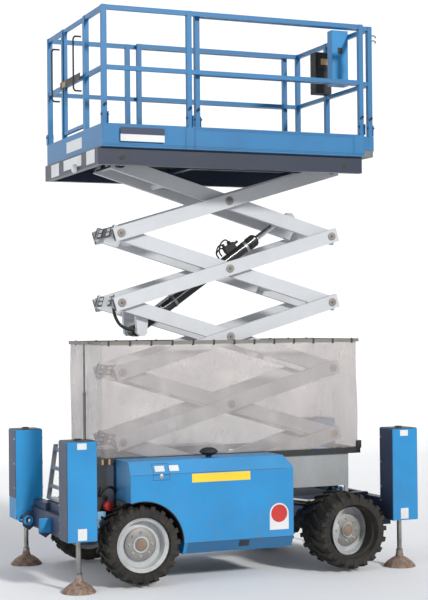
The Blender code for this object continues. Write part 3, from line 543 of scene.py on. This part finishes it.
# Node name beginnings and their finish
NODE_FINISHES = (
    ("chassis_frame", "navy"), ("tray_", "blue"), ("side_panel_near", "panel"), ("side_panel_far", "panel"),
    ("power_block", "black"), ("valve_block", "black"), ("entry_ladder", "zinc"), ("drive_axle", "black"),
    ("steer_axle", "black"), ("jack_box_", "blue"), ("jack_leg_", "leg"), ("guard_base", "black"),
    # The platform frame's deep blue is partly its paint and partly painted shade under the toe boards.
    ("guard_rail", "rail_grey"), ("lift_barrel", "black"), ("lift_rod", "chrome"), ("platform_frame", "deep_blue"),
    ("platform_floor", "deck"), ("platform_rails", "rail_blue"), ("entry_gate", "rail_blue"),
    ("extension_floor", "deck"), ("extension_rails", "rail_blue"), ("control_box", "plastic"),
    ("manual_box", "blue"), ("rim_", "rim"), ("tyre_", "rubber"), ("outer_arms_", "arm"),
    ("inner_arms_", "arm"), ("knuckle_", "black"),
)


def dress_cad_nodes():
    """Each CAD node keeps its mesh and gets its detailed finish."""
    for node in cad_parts:
        thing = bpy.data.objects[node] if node in bpy.data.objects else None
        for start, finish in NODE_FINISHES:
            if thing is not None and node.startswith(start):
                thing.data.materials.clear()
                thing.data.materials.append(FINISHES[finish])
                break


# ---------------------------------------------------------------- wheels


def tyre_shape(centre, radius, half_width, bore):
    """A rounded carcass with two rows of slanting lugs that meet in arrows at the tread's middle."""
    body_radius = radius - 0.022
    t = np.linspace(0, 1, 15)
    shoulder = half_width * np.sin(np.pi * (t - 0.5))
    crown = body_radius - 0.030 * np.abs(2 * t - 1) ** 4 - (body_radius - bore) * 0.42 * np.abs(2 * t - 1) ** 14
    profile = list(zip(crown, shoulder))
    wall = [(0.251, half_width * 0.97), (0.238, half_width * 0.90), (0.231, half_width * 0.815),
            (0.228, half_width * 0.765), (bore + 0.002, half_width * 0.73)]
    profile = profile + wall + [(r, -s) for r, s in wall[::-1]]
    carcass = ring(profile, centre, "y", 72)
    # Lug outline along the tread: u runs from the middle to the shoulder, v round the wheel
    lugs, count = [], 20
    for index in range(count):
        for way in (-1, 1):
            turn = TAU * (index + (0.5 if way > 0 else 0.0)) / count
            u = np.array((0.06, 0.55, 0.97, 1.01))
            slant = np.array((0.16, 0.02, -0.05, -0.05))
            width = np.array((0.050, 0.060, 0.078, 0.078))
            top = np.array((radius, radius - 0.002, radius - 0.012, radius - 0.045))
            foot = np.array((0.018, 0.020, 0.030, 0.030))
            rows = []
            for edge, rise in ((-1, 0), (-0.8, 1), (0.8, 1), (1, 0)):
                angle = turn + slant + edge * width
                r = top - (1 - rise) * (foot + 0.012)
                rows.append(np.stack((r * np.sin(angle), way * u * half_width, r * np.cos(angle)), axis=1))
            points = np.concatenate(rows) + np.asarray(centre, float)
            faces = grid_faces(4, 4, wrap_rows=True) + [[0, 4, 8, 12], [3, 15, 11, 7]]
            lugs.append((points, faces))
    return carcass, join(*lugs)


def dress_wheels():
    for _, end_name in ENDS:
        for side, side_name in SIDES:
            tag = f"{end_name}_{side_name}"
            low, high = (np.array(c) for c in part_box(f"tyre_{tag}"))
            centre, radius, half = (low + high) / 2, (high - low)[2] / 2, (high - low)[1] / 2
            bore = 0.2055
            carcass, lugs = tyre_shape(centre, radius, half - 0.001, bore)
            tyre = piece(f"tyre_carcass_{tag}", carcass, f"wheel_{tag}", "rubber", smooth=True)
            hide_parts(f"tyre_{tag}")
            piece(f"tyre_lugs_{tag}", lugs, f"wheel_{tag}", "rubber")
            out = "y" if side > 0 else "-y"
            face = centre + np.array((0, side * 0.052, 0))
            hub = turned(
                [(0.138, 0), (0.138, 0.010), (0.128, 0.016), (0.060, 0.016), (0.056, 0.028), (0.050, 0.034)],
                face, signed_axis(out), 40,
            )
            piece(f"hub_disc_{tag}", hub, f"wheel_{tag}", "hub", smooth=True)
            cap = turned([(0.044, 0.032), (0.044, 0.040), (0.028, 0.047)], face, signed_axis(out), 28)
            piece(f"hub_cap_{tag}", cap, f"wheel_{tag}", "rust", smooth=True)
            turns = np.arange(8) * TAU / 8
            nuts = [bolt(face + np.array((0.100 * np.sin(t), side * 0.014, 0.100 * np.cos(t))), out, 0.009, 0.012)
                    for t in turns]
            piece(f"wheel_nuts_{tag}", join(*nuts), f"wheel_{tag}", "zinc")


def signed_axis(axis):
    """The frame of an axis letter, its third direction reversed for a minus sign."""
    a, b, n = (np.array(v, float) for v in AXES[axis[-1]])
    return (a, b, -n) if axis.startswith("-") else (a, b, n)


# ---------------------------------------------------------------- guard curtain


def hang_curtain():
    """A milky sheet all round the arms, hooked to the rail and gathered at its foot.

    A point is the ring's path at u, moved outwards by w(u, v): shallow pleats between the hooks
    that deepen downwards, long slanting creases, and a heavier fold near the right-hand corners.
    """
    low, high = (np.array(c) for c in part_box("guard_curtain"))
    x0, x1, y0, y1 = low[0], high[0], low[1], high[1]
    lengths = np.array((x1 - x0, y1 - y0, x1 - x0, y1 - y0))
    round_trip = lengths.sum()
    columns, rows = 480, 60
    u = np.arange(columns) * round_trip / columns
    edge = np.concatenate(([0], np.cumsum(lengths)))
    x = np.interp(u, edge, (x0, x1, x1, x0, x0))
    y = np.interp(u, edge, (y0, y0, y1, y1, y0))
    # Outward direction, softened round the corners by a short moving average
    nx = np.where(y <= y0 + 1e-6, 0, np.where(y >= y1 - 1e-6, 0, np.sign(x - (x0 + x1) / 2)))
    ny = np.where(np.abs(nx) > 0, 0, np.sign(y))
    kernel = np.hanning(13) / np.hanning(13).sum()
    x, y, nx, ny = (
        np.convolve(np.concatenate((a[-6:], a, a[:6])), kernel, mode="valid") for a in (x, y, nx, ny)
    )
    v = np.linspace(0, 1, rows)[:, None]
    z = low[2] + (high[2] - low[2]) * v
    drop = 1 - v
    pleat = np.sin(TAU * u / round_trip * 30) * 0.5 + np.sin(TAU * u / round_trip * 19 + 1.1) * 0.5
    slant = np.sin(TAU * (u[None, :] / round_trip * 11 + 0.9 * v)) * np.sin(np.pi * v)
    ripple = np.sin(TAU * (u[None, :] / round_trip * 47 + 0.3 * np.sin(5 * v)))
    near_end = np.exp(-(((u - (edge[1] - 0.16)) / 0.14) ** 2)) + np.exp(-(((u - (edge[2] + 0.16)) / 0.14) ** 2))
    out = 0.006 * pleat[None, :] * (0.35 + drop) + 0.006 * slant + 0.0018 * ripple * (0.3 + drop)
    out = out + near_end[None, :] * 0.014 * np.sin(TAU * (u[None, :] / 0.09 + 0.8 * v)) * (0.4 + 0.6 * drop)
    out = out - 0.004 + 0.010 * np.sin(np.pi * v) * 0.6
    out = np.clip(out, -0.03, 0.022)
    points = np.stack((x[None, :] + nx[None, :] * out, y[None, :] + ny[None, :] * out, z + 0 * out), axis=-1)
    shape = points.reshape(-1, 3), grid_faces(rows, columns, wrap_columns=True)
    curtain = mesh_object("guard_curtain_sheet", shape, smooth=True)
    thick = curtain.modifiers.new("thickness", "SOLIDIFY")
    thick.thickness = 0.0012
    thick.offset = 0.0
    curtain.data.materials.append(FINISHES["vinyl"])
    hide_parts("guard_curtain")
    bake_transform(curtain)


# ---------------------------------------------------------------- outriggers


def dress_outriggers():
    """Each outrigger box gets dark navy plates with bolts on its end faces, a capped top and blank plates on its outer
    face. The plates' dark navy is partly paint and partly painted shade.
    """
    for end, end_name in ENDS:
        for side, side_name in SIDES:
            tag = f"{end_name}_{side_name}"
            low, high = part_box(f"jack_box_{tag}")
            x0, x1, z0, z1 = low[0], high[0], low[2], high[2]
            outer = low[1] if side < 0 else high[1]
            inner = outer - side * 0.23
            ya, yb = sorted((inner + side * 0.004, outer - side * 0.004))
            foot = z0 + 0.004 if side < 0 else 0.61
            # Dark navy plates on both end faces: partly paint, partly painted shade for the faces turned from the
            # light.
            plates = blocks((x0 - 0.004, x0 + 0.001, ya, yb, foot, z1 - 0.004),
                            (x1 - 0.001, x1 + 0.004, ya, yb, foot, z1 - 0.004))
            piece(f"jack_end_plates_paint_and_shade_{tag}", plates, "chassis", "navy", bevel=0.0015)
            heads = []
            for x, way in ((x0 - 0.004, "-x"), (x1 + 0.004, "x")):
                for z in (0.47, 0.58, 0.70, 0.92, 1.14):
                    if z > foot:
                        heads.append(bolt((x, inner + side * 0.022, z), way, 0.007, 0.006))
            piece(f"jack_bolts_{tag}", join(*heads), "chassis", "zinc")
            middle = ((x0 + x1) / 2, (ya + yb) / 2, z1)
            cap = join(
                blocks((x0 + 0.004, x1 - 0.004, ya, yb, z1 - 0.001, z1 + 0.006)),
                turned([(0.034, 0.005), (0.034, 0.013), (0.026, 0.019), (0.010, 0.020)], middle, "z", 28),
            )
            piece(f"jack_cap_{tag}", cap, "chassis", "black", bevel=0.0015)
            left = x0 + 0.083 if end < 0 else x0 + 0.075
            face = sorted((outer - side * 0.0005, outer + side * 0.001))
            blanks = blocks((left, left + 0.078, *face, z1 - 0.062, z1 - 0.012),
                            (left, left + 0.076, *face, z0 + 0.012, z0 + 0.105))
            piece(f"jack_plates_{tag}", blanks, "chassis", "plate")


# ---------------------------------------------------------------- side trays

TRAY_FACE, TRAY_SHOULDER, TRAY_FOOT = 0.845, 0.92, 0.345
TRAY_TOP_SLOPE, TRAY_FOOT_SLOPE = 0.062 / 0.11, 0.045 / 0.095
ARCH_RADIUS = 0.36
KNOB_X = -0.285


def tray_face_at(z):
    """How far out the tray's face is at a height: leaning in above its shoulder and below its foot."""
    z = np.asarray(z, float)
    lean = np.maximum(z - TRAY_SHOULDER, 0) * TRAY_TOP_SLOPE
    tuck = np.maximum(TRAY_FOOT - z, 0) * TRAY_FOOT_SLOPE
    return TRAY_FACE - lean - tuck


def tray_patch(side, outline, thick=0.0012):
    """A thin plate that follows the tray's face: an outline of (x, z) laid on it and given a thickness."""
    x, z = np.array(outline, float).T
    y = tray_face_at(z)
    inner = np.stack((x, side * (y - 0.0006), z), axis=1)
    outer = np.stack((x, side * (y + thick), z), axis=1)
    count = len(x)
    walls = grid_faces(2, count, wrap_columns=True)
    return np.concatenate((inner, outer)), walls + [list(range(count)), list(range(count, 2 * count))[::-1]]


def upright(x0, x1, z0, z1):
    return [(x0, z0), (x1, z0), (x1, z1), (x0, z1)]


def round_points(x, z, radius, first=0.0, last=TAU, count=32):
    t = np.linspace(first, last, count, endpoint=last - first < TAU - 0.01)
    return [(x + radius * np.cos(a), z + radius * np.sin(a)) for a in t]


def frame_lines(side, x0, x1, z0, z1, width=0.003):
    """A thin dark joint line round a lid or hatch."""
    edges = (upright(x0, x1, z0, z0 + width), upright(x0, x1, z1 - width, z1),
             upright(x0, x0 + width, z0, z1), upright(x1 - width, x1, z0, z1))
    return join(*(tray_patch(side, e, 0.0007) for e in edges))


def dress_trays():
    for side, name in SIDES:
        top = 1.008
        lines = [
            frame_lines(side, -0.856, -0.707, 0.874, TRAY_SHOULDER),
            frame_lines(side, -0.856, -0.707, TRAY_SHOULDER, top),
            tray_patch(side, upright(-1.045, 0.34, TRAY_SHOULDER + 0.001, TRAY_SHOULDER + 0.004), 0.0006),
            tray_patch(side, upright(-0.56, 0.40, TRAY_FOOT - 0.002, TRAY_FOOT + 0.001), 0.0006),
        ]
        piece(f"tray_lines_{name}", join(*lines), "chassis", "navy")
        # The tuck below the tray's foot line in a darker blue: dirt and painted shade where the face turns downward.
        foot = tray_patch(side, upright(-0.555, 0.414, 0.253, TRAY_FOOT - 0.002), 0.0006)
        piece(f"tray_foot_dirt_and_shade_band_{name}", foot, "chassis", "foot_dirt_and_shade")
        whites = [tray_patch(side, upright(-0.832, -0.748, 0.945, 0.99)),
                  tray_patch(side, upright(-0.705, -0.622, 0.945, 0.99))]
        arch_plate = upright(0.192, 0.369, 0.406, 0.541)[:2] + round_points(0.2805, 0.541, 0.0885, 0, np.pi, 20)
        whites.append(tray_patch(side, arch_plate))
        piece(f"tray_blank_plates_{name}", join(*whites), "chassis", "plate")
        disc = tray_patch(side, round_points(0.2805, 0.5425, 0.075, count=40), 0.0018)
        piece(f"tray_plain_disc_{name}", disc, "chassis", "red")
        strip = tray_patch(side, upright(-0.512, 0.015, 0.842, 0.914))
        piece(f"tray_yellow_strip_{name}", strip, "chassis", "yellow")
        latch_at = (-0.781, side * float(tray_face_at(0.905)), 0.905)
        latch = turned([(0.020, -0.002), (0.020, 0.003), (0.014, 0.006), (0.006, 0.006)],
                       latch_at, signed_axis("y" if side > 0 else "-y"), 28)
        piece(f"tray_latch_{name}", latch, "chassis", "zinc", smooth=True)
        slot = [tray_patch(side, upright(-0.088, 0.006, 0.284, 0.338), 0.002),
                tray_patch(side, upright(-0.066, -0.014, 0.296, 0.329), 0.003)]
        piece(f"tray_slot_rim_{name}", slot[0], "chassis", "deep_blue", bevel=0.001)
        piece(f"tray_slot_{name}", slot[1], "chassis", "black")
        # A black sheet just inside the wheel arch, from the front foot over the top to the rear end: painted shade in
        # the gap between the tyre and the tray
        wheel = np.array(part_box(f"tyre_rear_{name}"))
        x, z = wheel[:, 0].mean(), 0.35
        t = np.linspace(np.radians(2), np.radians(106), 40)
        section = np.array(((ARCH_RADIUS - 0.0004, 0.480), (ARCH_RADIUS - 0.0004, TRAY_FACE + 0.002),
                            (ARCH_RADIUS - 0.007, TRAY_FACE + 0.002), (ARCH_RADIUS - 0.007, 0.480)))
        points = np.stack((x + section[:, 0][:, None] * np.cos(t), side * (section[:, 1][:, None] + 0 * t),
                           z + section[:, 0][:, None] * np.sin(t)), axis=-1).reshape(-1, 3)
        count = len(t)
        faces = grid_faces(4, count, wrap_rows=True)
        faces += [[0, count, 2 * count, 3 * count], [count - 1, 4 * count - 1, 3 * count - 1, 2 * count - 1]]
        piece(f"arch_gap_shade_{name}", (points, faces), "chassis", "plastic", smooth=True)
    knob = [(0.0265, 1.031), (0.0265, 1.047), (0.052, 1.049), (0.080, 1.074), (0.0795, 1.079), (0.066, 1.094),
            (0.047, 1.1065), (0.02, 1.112)]
    shape = turned([(r, z) for r, z in knob], (KNOB_X, -0.66, 0), "z", 40)
    piece("breather_cap", shape, "chassis", "plastic", smooth=True)


# ---------------------------------------------------------------- chassis fittings


def dress_chassis():
    """Machinery and fittings that show between the wheels, trays and outriggers, and two dark blocks that paint the
    shade in gaps.
    """
    red = turned([(0.030, 0), (0.042, 0.006), (0.042, 0.050), (0.034, 0.060), (0.012, 0.062)],
                 (-1.128, -0.472, 0.645), signed_axis("-y"), 36)
    piece("pump_cap", red, "chassis", "red", smooth=True)
    bracket = blocks((-1.262, -1.150, -0.500, -0.488, 0.430, 0.602), (-1.262, -1.250, -0.500, -0.400, 0.430, 0.602))
    piece("pump_bracket", bracket, "chassis", "pale_blue", bevel=0.003)
    rings = []
    for x, y, z in ((-1.551, 0.6655, 0.440), (-1.512, 0.078, 0.42), (-1.512, 0.598, 0.42)):
        rings.append(ring([(0.026, 0.001), (0.045, 0.001), (0.045, -0.010), (0.026, -0.010)], (x, y, z), "y", 32))
    piece("tie_rings", join(*rings), "chassis", "blue", smooth=True)
    lug_plate = blocks((-1.560, -1.440, 0.066, 0.0795, 0.375, 0.50))
    piece("tie_plate", lug_plate, "chassis", "blue", bevel=0.006)
    heads = [bolt((x, -0.6705 + 0.006, z), "-y", 0.008) for x in (-1.33, -1.27) for z in (0.50, 0.56)]
    beam = blocks((0.470, 0.610, -0.410, -0.380, 0.452, 0.536))
    piece("axle_cross_beam", beam, "chassis", "pale_blue", bevel=0.004)
    fitting = join(
        blocks((1.075, 1.165, -0.372, -0.300, 0.625, 0.668)),
        rod((1.09, -0.35, 0.60), (1.09, -0.35, 0.69), 0.016),
        rod((1.13, -0.35, 0.61), (1.13, -0.35, 0.68), 0.013),
    )
    piece("steer_valve", fitting, "chassis", "pale_blue", bevel=0.002)
    piece("beam_bolts", join(*heads), "chassis", "zinc")
    panel_leg = blocks((1.120, 1.158, -0.4445, -0.4300, 0.640, 0.702))
    piece("panel_leg", panel_leg, "chassis", "panel", bevel=0.001)
    # A thin black plate across the gap between the trays' ends: painted shade where that gap shows dark.
    gap_shade_plate = blocks((-1.064, -1.056, -0.290, 0.290, 0.62, 0.98))
    piece("end_gap_painted_shade", gap_shade_plate, "chassis", "black", bevel=0.002)
    # A navy block where the tray's end meets the side panel: painted shadow in that gap, not a real post.
    gap_shadow_block = blocks((0.424, 0.470, -0.455, -0.395, 0.50, 0.984))
    piece("panel_gap_painted_shadow", gap_shadow_block, "chassis", "navy", bevel=0.002)


def dress_hoses():
    """Hoses under the side panel and beside the rear pump: each a fixed run, back into the machine at its end."""
    runs = {
        "steer_hose_upper": ([(0.60, -0.36, 0.60), (0.70, -0.385, 0.585), (0.82, -0.39, 0.572), (0.93, -0.37, 0.60)],
                             0.010, "pale_hose"),
        "steer_hose_lower": ([(0.58, -0.36, 0.57), (0.68, -0.39, 0.556), (0.80, -0.395, 0.55), (0.92, -0.37, 0.57)],
                             0.009, "hose"),
        "pump_hose": ([(-1.19, -0.475, 0.74), (-1.16, -0.50, 0.79), (-1.10, -0.50, 0.80), (-1.06, -0.47, 0.76),
                       (-1.05, -0.43, 0.70)], 0.011, "hose"),
        "pump_hose_low": ([(-1.20, -0.475, 0.56), (-1.17, -0.51, 0.55), (-1.10, -0.48, 0.53), (-1.06, -0.388, 0.50)],
                          0.010, "hose"),
    }
    for name, (points, radius, finish) in runs.items():
        add_hose(name, points, radius, "chassis", finish)


def add_hose(name, points, radius, body, finish):
    """A short fixed hose along a smooth path through the points."""
    path = smooth_path(points, 10)
    hose = piece(name, tube(path, radius, 12), body, finish, smooth=True)


# ---------------------------------------------------------------- scissor stack

PIN_LEFT, PIN_MIDDLE, PIN_RIGHT = -0.92, 0.0869, 1.0938
PIN_BASE, STEP = 0.556, 0.5957
ARM_ANGLE = np.radians(16.48)
ARM_DEPTH, ARM_OVERHANG = 0.12, 0.063


def dress_arms():
    """Washers and bolts on every pin, dark open ends on the box-section bars, and cross plates between them."""
    for level in range(1, 6):
        low, high = PIN_BASE + (level - 1) * STEP, PIN_BASE + level * STEP
        for body, pins, rise, y_in, y_out in (
            (f"outer_{level}", ((PIN_LEFT, low), (PIN_MIDDLE, (low + high) / 2), (PIN_RIGHT, high)), 1, 0.245, 0.295),
            (f"inner_{level}", ((PIN_LEFT, high), (PIN_RIGHT, low)), -1, 0.190, 0.240),
        ):
            ends = ((PIN_LEFT, low if rise > 0 else high, -1), (PIN_RIGHT, high if rise > 0 else low, 1))
            along = np.array((np.cos(ARM_ANGLE), 0, rise * np.sin(ARM_ANGLE)))
            across = np.array((-along[2], 0, along[0]))
            insets, washers, bolts_ = [], [], []
            for side, _ in SIDES:
                for x, z, way in ends:
                    tip = np.array((x, side * (y_in + y_out) / 2, z)) + way * along * ARM_OVERHANG
                    insets.append(slab(tip + way * along * 0.0006, along, across, 0.0012,
                                       ARM_DEPTH / 2 - 0.008, (y_out - y_in) / 2 - 0.007))
                if rise > 0:
                    for x, z in pins:
                        out = signed_axis("y" if side > 0 else "-y")
                        washers.append(turned([(0.036, -0.0005), (0.036, 0.0025), (0.032, 0.004), (0.026, 0.0042)],
                                              (x, side * 0.2985, z), out, 28))
                        bolts_.append(turned([(0.0125, 0.004), (0.0125, 0.011), (0.010, 0.013)],
                                             (x, side * 0.2985, z), out, 6))
            piece(f"bar_ends_{body}", join(*insets), body, "black")
            if rise > 0:
                piece(f"pin_washers_{body}", join(*washers), body, "hub", smooth=True)
                piece(f"pin_bolts_{body}", join(*bolts_), body, "rust")
            else:
                tip = np.array((PIN_LEFT, 0, high)) - along * (ARM_OVERHANG - 0.012)
                shift = np.array((0, 0.132 if level == 3 else 0, 0))
                plate = join(*(slab(tip + way * shift, along, across, 0.004, ARM_DEPTH / 2 - 0.014,
                                    0.054 if level == 3 else 0.186) for way in ((-1, 1) if level == 3 else (1,))))
                piece(f"cross_plate_{body}", plate, body, "black", bevel=0.001)
                middle = np.array((PIN_LEFT, 0, high)) - along * (ARM_OVERHANG - 0.004)
                boss = [slab(middle + across * lift + np.array((0, y, 0)), along, across, 0.005, 0.013, 0.040)
                        for y in (-0.11, 0.11) for lift in (-0.018, 0.020)]
                piece(f"cross_bosses_{body}", join(*boss), body, "arm", bevel=0.002)


def dress_arm_fittings():
    """A hose from the third level's end pin to the barrel's eye, and small blank plates on the second level's bars."""
    run = [(-0.955, -0.172, 2.30), (-0.940, -0.166, 2.23), (-0.895, -0.165, 2.155), (-0.830, -0.165, 2.120),
           (-0.768, -0.165, 2.110)]
    add_hose("lift_hose_outer", run, 0.014, "inner_3", "hose")
    plates = {"outer_2": [], "inner_2": []}
    for side, _ in SIDES:
        for body, x, rise, y in (("outer_2", -0.478, 1, 0.2951), ("inner_2", 0.512, -1, 0.2401)):
            along = np.array((np.cos(ARM_ANGLE), 0, rise * np.sin(ARM_ANGLE)))
            across = np.array((-along[2], 0, along[0]))
            place = np.array((PIN_MIDDLE, side * y, PIN_BASE + 1.5 * STEP)) + along * (x - PIN_MIDDLE) / along[0]
            plates[body].append(slab(place, along, across, 0.080, 0.034, 0.0008))
    for body, shapes in plates.items():
        piece(f"bar_blank_plates_{body}", join(*shapes), body, "plate")


def slab(middle, along, across, thick, half_across, half_side):
    """A closed block turned into an arm's frame: thick along it, given half sizes across it and sideways."""
    side = np.array((0.0, 1.0, 0.0))
    signs = np.array([(a, b, c) for c in (-1, 1) for b in (-1, 1) for a in (-1, 1)], float)
    points = (np.asarray(middle, float) + signs[:, :1] * along * thick / 2 + signs[:, 1:2] * across * half_across
              + signs[:, 2:] * side * half_side)
    return points, [[0, 2, 3, 1], [4, 5, 7, 6], [0, 1, 5, 4], [2, 6, 7, 3], [0, 4, 6, 2], [1, 3, 7, 5]]


BARREL_EYE, ROD_EYE = np.array((-0.70, 0.0, 2.10)), np.array((0.72, 0.0, 3.10))


def dress_cylinder():
    """A bright feed pipe with clamps along the barrel, a gland ring, and a valve with short hoses."""
    axis = (ROD_EYE - BARREL_EYE) / np.linalg.norm(ROD_EYE - BARREL_EYE)
    across = np.array((-axis[2], 0, axis[0]))

    def at(s, n=0.0, y=0.0):
        return BARREL_EYE + axis * s + across * n + np.array((0, y, 0))

    pipe = join(tube(smooth_path([at(0.30, 0.05, -0.05), at(0.36, 0.020, -0.062), at(0.9, 0.020, -0.062),
                                  at(1.36, 0.020, -0.062), at(1.40, 0.030, -0.058)], 6), 0.0065, 12),
                rod(at(0.22, 0.064, -0.01), at(0.80, 0.064, -0.01), 0.010))
    piece("feed_pipes", pipe, "lift_barrel", "chrome", smooth=True)
    clamps = [ring([(0.0505, -0.012), (0.0545, -0.012), (0.0545, 0.012), (0.0505, 0.012)], (0, 0, 0), "x", 32)]
    points, faces = clamps[0]
    turn = np.stack((axis, np.array((0, 1.0, 0)), across))
    bands = [(points @ turn + at(s), faces) for s in (0.45, 0.95, 1.30)]
    piece("barrel_bands", join(*bands), "lift_barrel", "zinc", smooth=True)
    gland = ring([(0.0255, 1.4105), (0.050, 1.4105), (0.050, 1.424), (0.040, 1.432), (0.0255, 1.432)],
                 (0, 0, 0), "x", 32)
    points = gland[0] @ turn + at(0)
    piece("barrel_gland", (points, gland[1]), "lift_barrel", "plastic", smooth=True)
    valve = join(
        slab(at(1.17, 0.080), axis, across, 0.11, 0.030, 0.030),
        rod(at(1.13, 0.105), at(1.13, 0.145), 0.014),
        rod(at(1.19, 0.105), at(1.19, 0.135), 0.018),
        rod(at(1.22, 0.085), at(1.27, 0.085), 0.012),
    )
    piece("barrel_valve", valve, "lift_barrel", "plastic", bevel=0.002)
    for k, (s, rise, back) in enumerate(((1.13, 0.150, 0.10), (1.19, 0.165, 0.13), (1.10, 0.130, 0.08))):
        y = -0.012 * k
        points = [at(s, 0.070, y), at(s, 0.115, y), at(s - 0.02, rise, y - 0.012), at(s - 0.6 * back, rise, y - 0.016),
                  at(s - back, 0.112, y - 0.010), at(s - back, 0.062, y)]
        add_hose(f"valve_hose_{k}", points, 0.007, "lift_barrel", "hose")


# ---------------------------------------------------------------- guard fittings


def dress_guard():
    """Small clamps that hold the sheet to its rail, a corner catch, and tan tie straps at the foot."""
    rail_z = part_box("guard_rail")[1][2]
    clamps = []
    for x in np.linspace(-1.10, 1.20, 13):
        for side, _ in SIDES:
            y = side * 0.455
            clamps.append(((x - 0.007, x + 0.007, *sorted((y - side * 0.010, y + side * 0.009)),
                            rail_z - 0.040, rail_z + 0.004)))
    piece("rail_clamps", blocks(*clamps), "guard_rail", "black", bevel=0.0015)
    catch = [(1.240, 1.283, *sorted((side * 0.440, side * 0.470)), 1.030, 1.098) for side, _ in SIDES]
    piece("corner_catches", blocks(*catch), "chassis", "plastic", bevel=0.004)
    straps = [(x, x + 0.016, -0.468, -0.462, 0.985, 1.030) for x in (-1.172, -1.112)]
    piece("foot_straps", blocks(*straps), "chassis", "tan", bevel=0.001)


# ---------------------------------------------------------------- platform

DECK_FRONT_FACE = 0.811


def dress_platform():
    """Blank plates, joint lines, bolt holes, hinge brackets, handles, lamp, labels and hooks."""
    y = -DECK_FRONT_FACE
    board = join(*(blocks((-1.100, -0.715, *sorted((s * y, s * (y - 0.0012))), 3.655, 3.712)) for s in (1, -1)))
    piece("board_plate_lower", board, "platform", "plate")
    board = join(*(blocks((-1.100, -0.715, *sorted((s * y, s * (y - 0.0012))), 3.7125, 3.769)) for s in (1, -1)))
    piece("board_plate_upper", board, "platform", "navy")
    lines = []
    for s in (1, -1):
        face = sorted((s * y, s * (y - 0.0006)))
        lines += [(-1.24, 1.16, *face, 3.632, 3.6345)]
        lines += [(x, x + 0.0025, *face, 3.607, 3.797) for x in (-0.520, -0.438)]
        lines += [(-0.43, 1.06, *face, 3.783, 3.7855), (1.060, 1.0625, *face, 3.632, 3.785)]
    piece("board_lines", blocks(*lines), "platform", "navy")
    ends = [(3.655, 3.750, -0.247, 0.189), (3.500, 3.590, -0.317, 0.191)]
    ends += [(3.485, 3.598, -0.678, -0.455), (3.478, 3.590, 0.332, 0.570)]
    end_plates = []
    for z0, z1, y0, y1 in ends:
        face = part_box("platform_rails" if z0 > 3.6 else "platform_frame")[0][0]
        end_plates.append((face - 0.0012, face + 0.001, y0, y1, z0, z1))
    piece("end_blank_plates", blocks(*end_plates), "platform", "plate")
    holes = []
    for side, _ in SIDES:
        for x in (-1.075, 0.975):
            holes.append(turned([(0.026, -0.001), (0.026, 0.0012), (0.020, 0.0018)], (x, side * 0.765, 3.53),
                                signed_axis("y" if side > 0 else "-y"), 28))
    piece("frame_holes", join(*holes), "platform", "black", smooth=True)
    lamp = turned([(0.030, 0), (0.038, 0.004), (0.038, 0.020), (0.030, 0.034), (0.012, 0.040)],
                  (-1.2775, -0.165, 3.487), signed_axis("-x"), 36)
    piece("end_lamp", lamp, "platform", "plate", smooth=True)
    handles = []
    for hand_y in (0.326, -0.301):
        out, x = 0.070, -1.268
        path = [(x, hand_y, 4.59), (x - out * 0.8, hand_y, 4.59), (x - out, hand_y, 4.57), (x - out, hand_y, 4.15),
                (x - out * 0.8, hand_y, 4.13), (x, hand_y, 4.13)]
        dense = np.concatenate([np.linspace(a, b, 5, endpoint=False) for a, b in zip(path[:-1], path[1:])] + [path[-1:]])
        handles.append(tube(dense, 0.0075, 12))
    piece("grab_handles", join(*handles), "platform", "plastic", smooth=True)
    brackets, heads = {"platform": [], "extension": []}, {"platform": [], "extension": []}
    for side, _ in SIDES:
        for body, xs, mid in (("platform", (-1.226, -0.478, 1.144), 0.790), ("extension", (-0.384, 1.262), 0.735)):
            for x in xs:
                for edge in (-1, 1):
                    px = x + edge * 0.0245
                    ya, yb = sorted((side * (mid - 0.030), side * (mid + (0.0205 if body == "platform" else 0.008))))
                    brackets[body].append((px - 0.003, px + 0.003, ya, yb, 3.800, 3.895))
                heads[body].append(bolt((x + 0.027, side * mid, 3.870), "x", 0.008))
                heads[body].append(bolt((x - 0.027, side * mid, 3.870), "-x", 0.008))
                heads[body].append(bolt((x, side * (mid + 0.0205), 3.955), "y" if side > 0 else "-y", 0.008, 0.010))
    for body in brackets:
        piece(f"{body}_hinge_brackets", blocks(*brackets[body]), body, "rail_blue", bevel=0.002)
        piece(f"{body}_hinge_bolts", join(*heads[body]), body, "black")
    plate = blocks((-1.2745, -1.2680, -0.272, 0.294, 4.228, 4.292))
    piece("gate_plate", plate, "entry_gate", "black", bevel=0.002)
    piece("gate_label", blocks((-1.2757, -1.2744, 0.140, 0.235, 4.238, 4.282)), "entry_gate", "tan")
    low, high = (np.array(c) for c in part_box("control_box"))
    face = low[1]
    bezel = blocks((low[0] + 0.026, high[0] - 0.028, face - 0.004, face + 0.002, high[2] - 0.150, high[2] - 0.030))
    piece("control_bezel", bezel, "extension", "black", bevel=0.003)
    label = blocks((low[0] + 0.045, high[0] - 0.047, face - 0.0055, face - 0.003, high[2] - 0.118, high[2] - 0.062))
    piece("control_label", label, "extension", "tan")
    low, high = (np.array(c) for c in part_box("manual_box"))
    middle = (low[0] + high[0]) / 2
    slot = blocks((middle - 0.024, middle + 0.024, low[1] - 0.002, low[1] + 0.001, 4.590, 4.645))
    piece("manual_box_slot", slot, "extension", "black", bevel=0.001)
    hooks = []
    for z in (4.645, 4.690):
        path = smooth_path([(1.283, -0.735, z), (1.310, -0.735, z), (1.318, -0.737, z - 0.010), (1.312, -0.740, z - 0.020)])
        hooks.append(tube(path, 0.005, 10))
    piece("lanyard_hooks", join(*hooks), "extension", "plastic", smooth=True)
    small = blocks((1.10, 1.17, -0.7575, -0.7555, 3.70, 3.76))
    piece("extension_plate", small, "extension", "plate")


# ---------------------------------------------------------------- order of making

FINISHES = make_finishes()
aim_camera()
light_the_room()
lay_floor()
dress_cad_nodes()
dress_wheels()
dress_outriggers()
dress_trays()
dress_chassis()
dress_hoses()
dress_arms()
dress_arm_fittings()
dress_cylinder()
dress_guard()
dress_platform()
hang_curtain()
